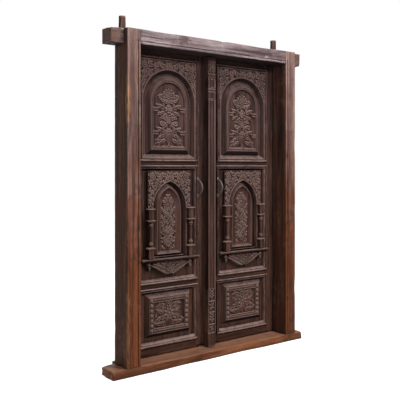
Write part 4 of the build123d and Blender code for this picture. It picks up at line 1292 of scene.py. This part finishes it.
def swag():
    """The swag's sheet, and how high its lower edge is at each point."""
    sheet = Sheet(-swag_half, swag_half, apron_low[2], apron_high[2], pitch=2.0)
    top, low = apron_high[2], apron_low[2] + 14
    full = 14.0
    t = np.linspace(-1, 1, 41)
    hang = (1 - np.cos(pi * np.abs(t) ** 1.25)) / 2
    line = low + 14 + (top - low - 38) * hang + 6 * np.abs(np.sin(4.5 * pi * t))

    def over_garland(u, v):
        return u < 112 and v > low + 26 + (top - low - 42) * (1 - cos(pi * u / swag_half)) / 2

    sheet.foliage(over_garland, 21, full * 0.5, 4, 0.75)
    sheet.pair(sheet.scroll, 40, top - 38, 21, 1.1, 220, 12, full * 0.6)
    sheet.pair(sheet.leaf, 70, top - 40, 50, 24, 14, full * 0.55, curl=30, lobes=3)
    sheet.leaf(0, low + 34, 62, 34, 90, full * 0.7)
    sheet.pair(sheet.leaf, 4, low + 32, 62, 28, 50, full * 0.65, curl=-30)
    sheet.stem(np.c_[t * (swag_half - 24), line], (7, 8, 18, 30, 18, 8, 7), full * 0.75)
    for number in range(1, 11):
        where = number / 12
        u = where * (swag_half - 30)
        v = low + 18 + (top - low - 40) * (1 - cos(pi * where ** 1.25)) / 2
        steep = 10 + 30 * sin(pi * where)
        size = 50 - 30 * where
        sheet.pair(sheet.leaf, u - 10, v - 2, size, size * 0.5, steep - 46, full * 0.95, curl=44, lobes=2)
        sheet.pair(sheet.leaf, u - 10, v + 2, size, size * 0.45, steep + 38, full * 0.8, curl=-30, lobes=2)
    for turn in FAN:
        sheet.leaf(turn * 6, low + 34, 34 - 2 * abs(turn), 20, 270 + turn * 28, full, lobes=2)
    sheet.flower(0, low + 38, 17, 6, full)
    sheet.pair(sheet.leaf, swag_half - 20, top - 20, 40, 20, 268, full * 0.8, curl=20, lobes=2)
    sheet.pair(sheet.flower, swag_half - 17, top - 16, 14, 6, full * 0.8)
    sheet.worn(loss=0.1)
    return sheet, np.interp(abs(sheet.u), t[20:] * (swag_half - 24), line[20:])


sheet, edge_line = swag()
middle_u, middle_v = sheet.middles()
lifted = (sheet.h[:-1, :-1] + sheet.h[1:, 1:]) / 2
wood_cells = ((middle_v > edge_line[:-1, :-1]) & (abs(middle_u) < 120)) | (lifted > 1.5)
parts = [slab(sheet, bay, apron_low[1] + 15.5, hidden_back, full=13.0, keep=wood_cells)]
both_leaves("apron", parts, finishes["carved"])

# %% [markdown]
# ## The raised block of the lower bay
# A sloped square block with a row of petals round its border and a daisy over leaves in its sunk field.
# The petals are two shapes, each repeated along two lines at an even pitch, which is work for Geometry
# Nodes.

# %% Carve the daisy
block_low, block_high = corners("left_base_block")
block_mid = (block_low[2] + block_high[2]) / 2
block_tall = (block_high[2] - block_low[2]) / 2
block_half = block_high[0] - bay
block_face = board_face - 30
squeeze = 0.93
border = 48
sunk_half, sunk_tall = block_half - 67, block_tall - 62
sunk_floor = block_face + 12


def daisy():
    """The sheet of the block's sunk field."""
    sheet = Sheet(-sunk_half - 3, sunk_half + 3, block_mid - sunk_tall - 3, block_mid + sunk_tall + 3,
                  pitch=1.9)
    full = 12.0
    low, high = block_mid - sunk_tall, block_mid + sunk_tall
    sheet.foliage(lambda u, v: u < sunk_half - 16 and low + 14 < v < high - 12, 21, full * 0.6, 21, 0.7)
    sheet.pair(sheet.leaf, 46, block_mid + 6, 72, 34, 14, full, curl=26, lobes=2)
    sheet.pair(sheet.leaf, 56, block_mid - 20, 60, 28, -4, full * 0.95, curl=-30, lobes=2)
    sheet.pair(sheet.leaf, 26, high - 26, 92, 34, 2, full * 0.85, curl=-16, lobes=3)
    sheet.pair(sheet.leaf, 30, block_mid + 38, 58, 24, 24, full * 0.8, curl=-30, lobes=2)
    sheet.pair(sheet.leaf, 26, low + 20, 96, 46, 0, full * 0.95, curl=14, lobes=1)
    for number in range(8):
        way = 22.5 + 45 * number
        u, v = 8 * cos(radians(way)), block_mid + 4 + 8 * sin(radians(way))
        sheet.leaf(u, v, 43, 23, way, full, lobes=1)
    sheet.boss(0, block_mid + 4, 13, full)
    sheet.flower(0, high - 16, 17, 5, full * 0.9)
    sheet.stem([(0, low + 3), (0, low + 12), (0, low + 28), (0, low + 36)], (26, 20, 50, 62), full)
    sheet.worn(loss=0.2)
    smooth = np.clip((sheet.u - 62) / 40, 0, 1) * (sheet.v > block_mid - 34) * (sheet.v < block_mid + 60)
    sheet.h = sheet.h * (1 - 0.7 * smooth)
    return sheet


sheet = daisy()
rings = []
for fall, depth, high in ((-2, -1, 0.1), (0, 0, 0.1), (29, 28, 0.7), (31, 30, 0.9), (33.5, 30, 0.9),
                          (36, 27, 0.1), (60, 27, 0.1), (62.5, 30, 0.9), (65, 30, 0.9), (67.5, 27, 0.3),
                          (70, 18, 0.0)):
    foot, top = block_low[2] + fall * squeeze, block_high[2] - fall * squeeze
    rings.append((square_loop(block_half - fall, foot, top), board_face - depth, high))
block_parts = [loops(rings, bay), slab(sheet, bay, sunk_floor, sunk_floor + 2, full=9.0)]
print("block", block_half, block_tall, "field", sunk_half, sunk_tall)

# %% [markdown]
# The petal rows: two upright and two level lines run along the border. Each becomes a curve that is
# sampled at the pitch, a petal is set on every sample and turned to look outwards, and the result is
# made real and given its wood.

# %% Set the petals with Geometry Nodes
def petal_shape(name, length, width, height):
    """A low oval bead, flat at the back, lying along X with its crown to -Y."""
    rows, columns = 6, 10
    points = [(0, -height, 0)]
    for ring in range(1, rows):
        share = ring / (rows - 1)
        for step in range(columns):
            way = 2 * pi * step / columns
            points.append((length / 2 * share * cos(way), -height * sqrt(max(0, 1 - share ** 2)),
                           width / 2 * share * sin(way)))
    faces = [(0, 1 + (s + 1) % columns, 1 + s) for s in range(columns)]
    for ring in range(rows - 2):
        for step in range(columns):
            a = 1 + ring * columns + step
            b = 1 + ring * columns + (step + 1) % columns
            faces.append((a, b, b + columns, a + columns))
    last = 1 + (rows - 2) * columns
    faces.append(tuple(range(last, last + columns)))
    return new_piece(name, [(points, faces, [0.6] * len(points))], finishes["carved"])


def geometry_group(name, sockets):
    """An empty geometry group: a geometry comes in with the sockets (name, type), and one goes out."""
    made = bpy.data.node_groups.new(name, "GeometryNodeTree")
    for label, kind in (("Geometry", "NodeSocketGeometry"), *sockets):
        made.interface.new_socket(name=label, in_out="INPUT", socket_type=kind)
    made.interface.new_socket(name="Geometry", in_out="OUTPUT", socket_type="NodeSocketGeometry")
    return made, made.nodes.new("NodeGroupInput").outputs, made.nodes.new("NodeGroupOutput").inputs


def real_and_painted(tree, geometry, material):
    """Real faces of one material."""
    real = node(tree, "GeometryNodeRealizeInstances", Geometry=geometry)
    return node(tree, "GeometryNodeSetMaterial", Geometry=real.outputs[0], Material=material).outputs[0]


def petal_tree():
    """Beads along the lines of a mesh: inputs Bead, Pitch and Wood."""
    made, given, result = geometry_group("petal row", (("Bead", "NodeSocketObject"), ("Pitch", FLOAT),
                                                       ("Wood", "NodeSocketMaterial")))
    line = node(made, "GeometryNodeMeshToCurve", Mesh=given["Geometry"])
    samples = node(made, "GeometryNodeCurveToPoints", {"mode": "LENGTH"}, Curve=line.outputs[0],
                   Length=given["Pitch"])
    bead = node(made, "GeometryNodeObjectInfo", Object=given["Bead"])
    cross = node(made, "ShaderNodeVectorMath", {"operation": "CROSS_PRODUCT"})
    feed(made, cross.inputs[0], samples.outputs["Tangent"])
    feed(made, cross.inputs[1], (0, 1, 0))
    turn = node(made, "FunctionNodeAlignRotationToVector", {"axis": "X", "pivot_axis": "Y"},
                Vector=cross.outputs[0])
    spread = node(made, "GeometryNodeInstanceOnPoints", Points=samples.outputs["Points"],
                  Instance=bead.outputs["Geometry"], Rotation=turn.outputs[0])
    link(made, real_and_painted(made, spread.outputs[0], given["Wood"]), result[0])
    return made


def grown(name, base, tree, values):
    """Run a tree on base with its inputs set by name, and return the result as plain points and faces."""
    modifier = base.modifiers.new(name, "NODES")
    modifier.node_group = tree
    for item in tree.interface.items_tree:
        if item.item_type == "SOCKET" and item.in_out == "INPUT" and item.name in values:
            modifier[item.identifier] = values[item.name]
    base.update_tag()
    bpy.context.view_layer.update()
    mesh = bpy.data.meshes.new_from_object(base.evaluated_get(bpy.context.evaluated_depsgraph_get()))
    base.modifiers.remove(modifier)
    return mesh


upright_petal = petal_shape("upright petal", 26, 33, 9.0)
level_petal = petal_shape("level petal", 17, 27, 5.0)
border_mid = block_half - border
up_mid = block_tall - border * squeeze
inner_up, inner_mid = up_mid - 4, border_mid - 26


def border_line(name, spans):
    """Straight lines on the block's border, as a mesh; spans are pairs of (across, up)."""
    points = [(MM * (bay + u), MM * (block_face + 3), MM * (block_mid + v))
              for span_ends in spans for u, v in span_ends]
    mesh = bpy.data.meshes.new(name)
    mesh.from_pydata(points, [(0, 1), (2, 3)], [])
    line = bpy.data.objects.new(name, mesh)
    bpy.context.scene.collection.objects.link(line)
    return line


uprights = border_line("upright line", [[(s * border_mid, -inner_up), (s * border_mid, inner_up)]
                                        for s in (-1, 1)])
levels = border_line("level line", [[(-inner_mid, s * up_mid), (inner_mid, s * up_mid)] for s in (-1, 1)])
petals = petal_tree()
for line, bead, pitch, high in ((uprights, upright_petal, 30.5, 0.74), (levels, level_petal, 21, 0.6)):
    mesh = grown("petals", line, petals, {"Bead": bead, "Pitch": pitch * MM, "Wood": finishes["carved"]})
    points = [tuple(v.co / MM) for v in mesh.vertices]
    block_parts.append((points, [tuple(f.vertices) for f in mesh.polygons], [high] * len(points)))
both_leaves("base_block", block_parts, finishes["carved"])
for spare in (upright_petal, level_petal, uprights, levels):
    bpy.data.objects.remove(spare)

# %% [markdown]
# ## The colonnettes
# Each is a square block, a plate with a sloping roof, a turned shaft, and the same again in reverse, with
# a flat cap on top. Square parts are stacked rectangles against the niche block; the shaft is a turned
# outline.

# %% Build the colonnettes
def stack(x, back, rings):
    """Rectangles one above another; each is (half width, how far it stands out, height, crest)."""
    points, crest = [], []
    for half, proud, z, high in rings:
        points.extend([(x - half, back, z), (x + half, back, z), (x + half, back - proud, z),
                       (x - half, back - proud, z)])
        crest.extend([gentle(high)] * 4)
    return points, ring_faces(len(rings), 4), crest


TURN_STEPS = 24


def turning(x, y, outline):
    """A turned outline of (radius, height, crest) about an upright axis."""
    points, crest = [], []
    for radius, z, high in outline:
        for step in range(TURN_STEPS):
            way = 2 * pi * step / TURN_STEPS
            points.append((x + radius * cos(way), y + radius * sin(way), z))
            crest.append(gentle(high))
    return points, ring_faces(len(outline), TURN_STEPS), crest


def from_foot(foot, shape):
    """The same rings with their heights counted from the floor instead of from the foot."""
    return [(*sizes, foot + z, high) for *sizes, z, high in shape]


def plate(x, back, z, roof):
    """A plate with a sloping side: roof 1 slopes on top, -1 slopes below."""
    shape = [(29, 31, 0, 0.6), (31, 33, 3, 0.9), (31, 33, 7, 1.0), (20, 30, 14, 0.9)]
    if roof < 0:
        shape = [(20, 30, 0, 0.2), (31, 33, 7, 0.6), (31, 33, 11, 1.0), (28, 31, 14, 1.0)]
    return stack(x, back, from_foot(z, shape))


SHAFT = ((13.5, 84, 0.3), (13.5, 98, 0.3), (16, 101, 0.9), (16.3, 105, 1.0), (16, 109, 0.9),
         (10.5, 113, 0.3), (14, 118, 0.8), (10, 123, 0.3), (11.6, 160, 0.5), (11.2, 200, 0.5),
         (9.5, 222, 0.3), (13.5, 226, 0.8), (10, 231, 0.3), (16, 236, 0.9), (16.3, 239, 1.0),
         (15.8, 242, 0.9), (13, 245, 0.3), (13.5, 258, 0.3))
LOWER = ((17.6, 27.6, 0, 0.2), (18, 28, 4, 0.5), (18, 28, 66, 0.5), (17, 27, 70, 0.6))
UPPER = ((17, 27, 272, 0.2), (18, 28, 276, 0.5), (18, 28, 340, 0.5), (17, 27, 344, 0.5))
CAP = ((27, 30, 344, 0.4), (31, 33, 346, 0.9), (31, 33, 349, 1.0), (24, 30, 353, 0.9))


for place_name in ("outer", "inner"):
    low, high = corners("left_" + place_name + "_colonnette")
    x, foot, back = (low[0] + high[0]) / 2, low[2], high[1]
    parts = [stack(x, back, from_foot(foot, LOWER)), plate(x, back, foot + 70, 1),
             turning(x, back - 16.8, from_foot(foot, SHAFT)), plate(x, back, foot + 258, -1),
             stack(x, back, from_foot(foot, UPPER)), stack(x, back, from_foot(foot, CAP))]
    both_leaves(place_name + "_colonnette", parts, finishes["carved"])

# %% [markdown]
# ## The cover strip
# One long sheet: a reeded shaft with a bead at each edge, blocks and a leafy capital near the top, and
# four carved lengths over a plain foot. Here the stamps work on top of the shaft's own profile.

# %% Carve the cover strip
strip_low, strip_high = corners("cover_strip")
strip_foot, strip_top = strip_low[2], strip_high[2]
strip_half = (strip_high[0] - strip_low[0]) / 2
crown = strip_top - 57
plain_top = strip_foot + 99
lengths = (60, 91, 80, 91)
carved_top = plain_top + sum(lengths)
capital_tall = 60
shaft_radius, shaft_half = 24.5, 21


def strip_sheet():
    """The strip's sheet: the shaft's own profile with the carving on it."""
    sheet = Sheet(-strip_half, strip_half, strip_foot - foot_drop / MM, strip_top, pitch=2.0)
    u, v = np.abs(sheet.u), sheet.v
    shaft = np.sqrt(np.clip(shaft_radius ** 2 - np.clip(u, 0, shaft_half) ** 2, 0, None))
    bead = 6 + 4 * np.sqrt(np.clip(1 - ((u - 28.5) / 4.6) ** 2, 0, 1))
    profile = np.where(u < shaft_half, 12 - (shaft_radius - shaft), bead)
    plain = np.where(u > 31, 7.5, 9.0)
    spans = [(strip_foot, plain_top), (crown, strip_top)]
    spans += [(crown - drop, crown - drop + tall) for drop, tall in ((97, 37), (184, 16), (250, 60))]
    for low, high in spans:
        profile = np.where((v > low) & (v < high), plain, profile)
        for edge in (low, high):
            profile = np.where(np.abs(v - edge) < 3, 5.0, profile)
    inside = (v > plain_top + 3) & (v < carved_top)
    profile = np.where(inside, np.where(u > 27, 9.0, 3.0), profile)
    capital = (v > crown - capital_tall) & (v < crown)
    slope = np.clip((v - crown + capital_tall) / capital_tall, 0, 1)
    profile = np.where(capital, 3.0 + 5 * slope, profile)
    edge = plain_top
    for number, tall in enumerate(lengths):
        middle, reach = edge + tall / 2, tall / 2 - 6
        if number % 2 == 0:
            for way in (45, 135, 225, 315):
                sheet.leaf(0, middle, reach * 1.05, 13, way, 8.5, curl=24, lobes=2)
            for way in (90, 270):
                sheet.leaf(0, middle, reach, 11, way, 8, lobes=2)
            sheet.flower(0, middle, 9, 6, 8)
        else:
            for lift in (-0.62, -0.1, 0.42):
                sheet.pair(sheet.leaf, 2, middle + lift * reach, 27, 11, 48, 8.5, curl=40, lobes=2)
                sheet.pair(sheet.leaf, 22, middle + (lift + 0.24) * reach, 20, 9, 118, 7.5, curl=30,
                           lobes=1)
            sheet.stem([(0, edge + 8), (0, edge + tall - 10)], (5, 4), 8)
        edge += tall
        sheet.stem([(-26, edge - 1), (26, edge - 1)], (7, 7), 8)
    for turn in FAN:
        sheet.leaf(turn * 4, crown - 58, 56 - 3 * abs(turn), 17, 90 - turn * 16, 8, curl=turn * 22, lobes=3)
    sheet.worn(loss=0.12)
    sheet.h = profile + np.where(inside | capital, np.clip(sheet.h, 0, 9), 0)
    sheet.h = np.clip(sheet.h, 0, 12) * (1 - 0.06 * ripple(sheet.h.shape, 30))
    return sheet


sheet = strip_sheet()
strip_part = slab(sheet, 0, strip_low[1] + 12.2, strip_high[1], full=12.0)
strip_piece = new_piece("cover_strip_carved", [strip_part], finishes["carved"])
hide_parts("cover_strip")
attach(strip_piece, body_of("cover_strip"))
print("cover strip", len(strip_piece.data.polygons), "faces")

# %% [markdown]
# ## The forged handles
# A bow swells to the middle and thins to its ends, like drawn-out iron. A straight curve is bent into an
# arc, and Curve to Mesh gives it a round section whose scale follows the way along it. Small hammered
# leaves cover the roses.

# %% Forge the bow with Geometry Nodes
def bow_tree():
    """A swelling bar along a bent line: inputs Span, Proud, Thick, Thin and Iron."""
    sizes = [(label, FLOAT) for label in ("Span", "Proud", "Thick", "Thin")]
    made, given, result = geometry_group("forged bow", (*sizes, ("Iron", "NodeSocketMaterial")))
    line = node(made, "GeometryNodeCurvePrimitiveLine")
    fine = node(made, "GeometryNodeResampleCurve", Curve=line.outputs[0], Count=40)
    share = node(made, "GeometryNodeSplineParameter").outputs["Factor"]
    bend = math_node(made, "SINE", times(made, share, pi))
    out = times(made, times(made, math_node(made, "POWER", bend, 0.75), given["Proud"]), -1.0)
    up = times(made, math_node(made, "SUBTRACT", share, 0.5), given["Span"])
    arc = node(made, "ShaderNodeCombineXYZ", Y=out, Z=up)
    bent = node(made, "GeometryNodeSetPosition", Geometry=fine.outputs[0], Position=arc.outputs[0])
    swell = node(made, "ShaderNodeMapRange", Value=bend, To_Min=given["Thin"], To_Max=given["Thick"])
    ring = node(made, "GeometryNodeCurvePrimitiveCircle", Resolution=14, Radius=1.0)
    skin = node(made, "GeometryNodeCurveToMesh", Curve=bent.outputs[0], Profile_Curve=ring.outputs[0],
                Scale=swell.outputs["Result"], Fill_Caps=True)
    link(made, real_and_painted(made, skin.outputs[0], given["Iron"]), result[0])
    return made


def iron_leaf(x, seat, z, way, length, width):
    """A small hammered leaf lying on the seat, its tip towards way."""
    rows, columns = 9, 7
    points, faces = [], []
    for lift in (1.0, 0.0):
        for i in range(rows):
            t = i / (rows - 1)
            half = width / 2 * (sin(pi * min(1, t * 0.9 + 0.08)) ** 0.7)
            for j in range(columns):
                w = 2 * j / (columns - 1) - 1
                high = lift * (1.0 + 2.8 * (1 - w * w) * sin(pi * (t * 0.85 + 0.1)))
                points.append((x + w * half, seat - high, z + way * length * t))
    count = rows * columns
    for face_side in (0, 1):
        for i in range(rows - 1):
            for j in range(columns - 1):
                a = face_side * count + i * columns + j
                quad = (a, a + 1, a + columns + 1, a + columns)
                faces.append(quad if face_side else quad[::-1])
    rim = list(range(columns)) + [i * columns + columns - 1 for i in range(1, rows)]
    rim += [(rows - 1) * columns + j for j in range(columns - 2, -1, -1)]
    rim += [i * columns for i in range(rows - 2, 0, -1)]
    for k, a in enumerate(rim):
        b = rim[(k + 1) % len(rim)]
        faces.append((a, b, b + count, a + count))
    return points, faces, [0.5] * len(points)


handle_low, handle_high = corners("left_handle")
bow_x = (handle_low[0] + handle_high[0]) / 2
bow_z = (handle_low[2] + handle_high[2]) / 2
seat = corners("left_middle_moulding")[0][1]
anchor_mesh = bpy.data.meshes.new("bow anchor")
anchor_mesh.from_pydata([(0, 0, 0)], [], [])
anchor = bpy.data.objects.new("bow anchor", anchor_mesh)
bpy.context.scene.collection.objects.link(anchor)
bow_span, bow_thick, bow_thin = 120, 6.2, 3.4
bow = grown("bow", anchor, bow_tree(), {
    "Span": bow_span * MM, "Proud": (seat - handle_low[1] - 7) * MM, "Thick": bow_thick * MM,
    "Thin": bow_thin * MM, "Iron": iron})
bow_points = [(bow_x + v.co.x / MM, seat - 1 + v.co.y / MM, bow_z + v.co.z / MM) for v in bow.vertices]
parts = [(bow_points, [tuple(f.vertices) for f in bow.polygons], [0.5] * len(bow_points))]
for way in (-1, 1):
    parts.append(iron_leaf(bow_x, seat, bow_z + way * 50, way, 23, 20))
both_leaves("handle", parts, iron)
bpy.data.objects.remove(anchor)
print("bow faces", len(bow.polygons))

# %% [markdown]
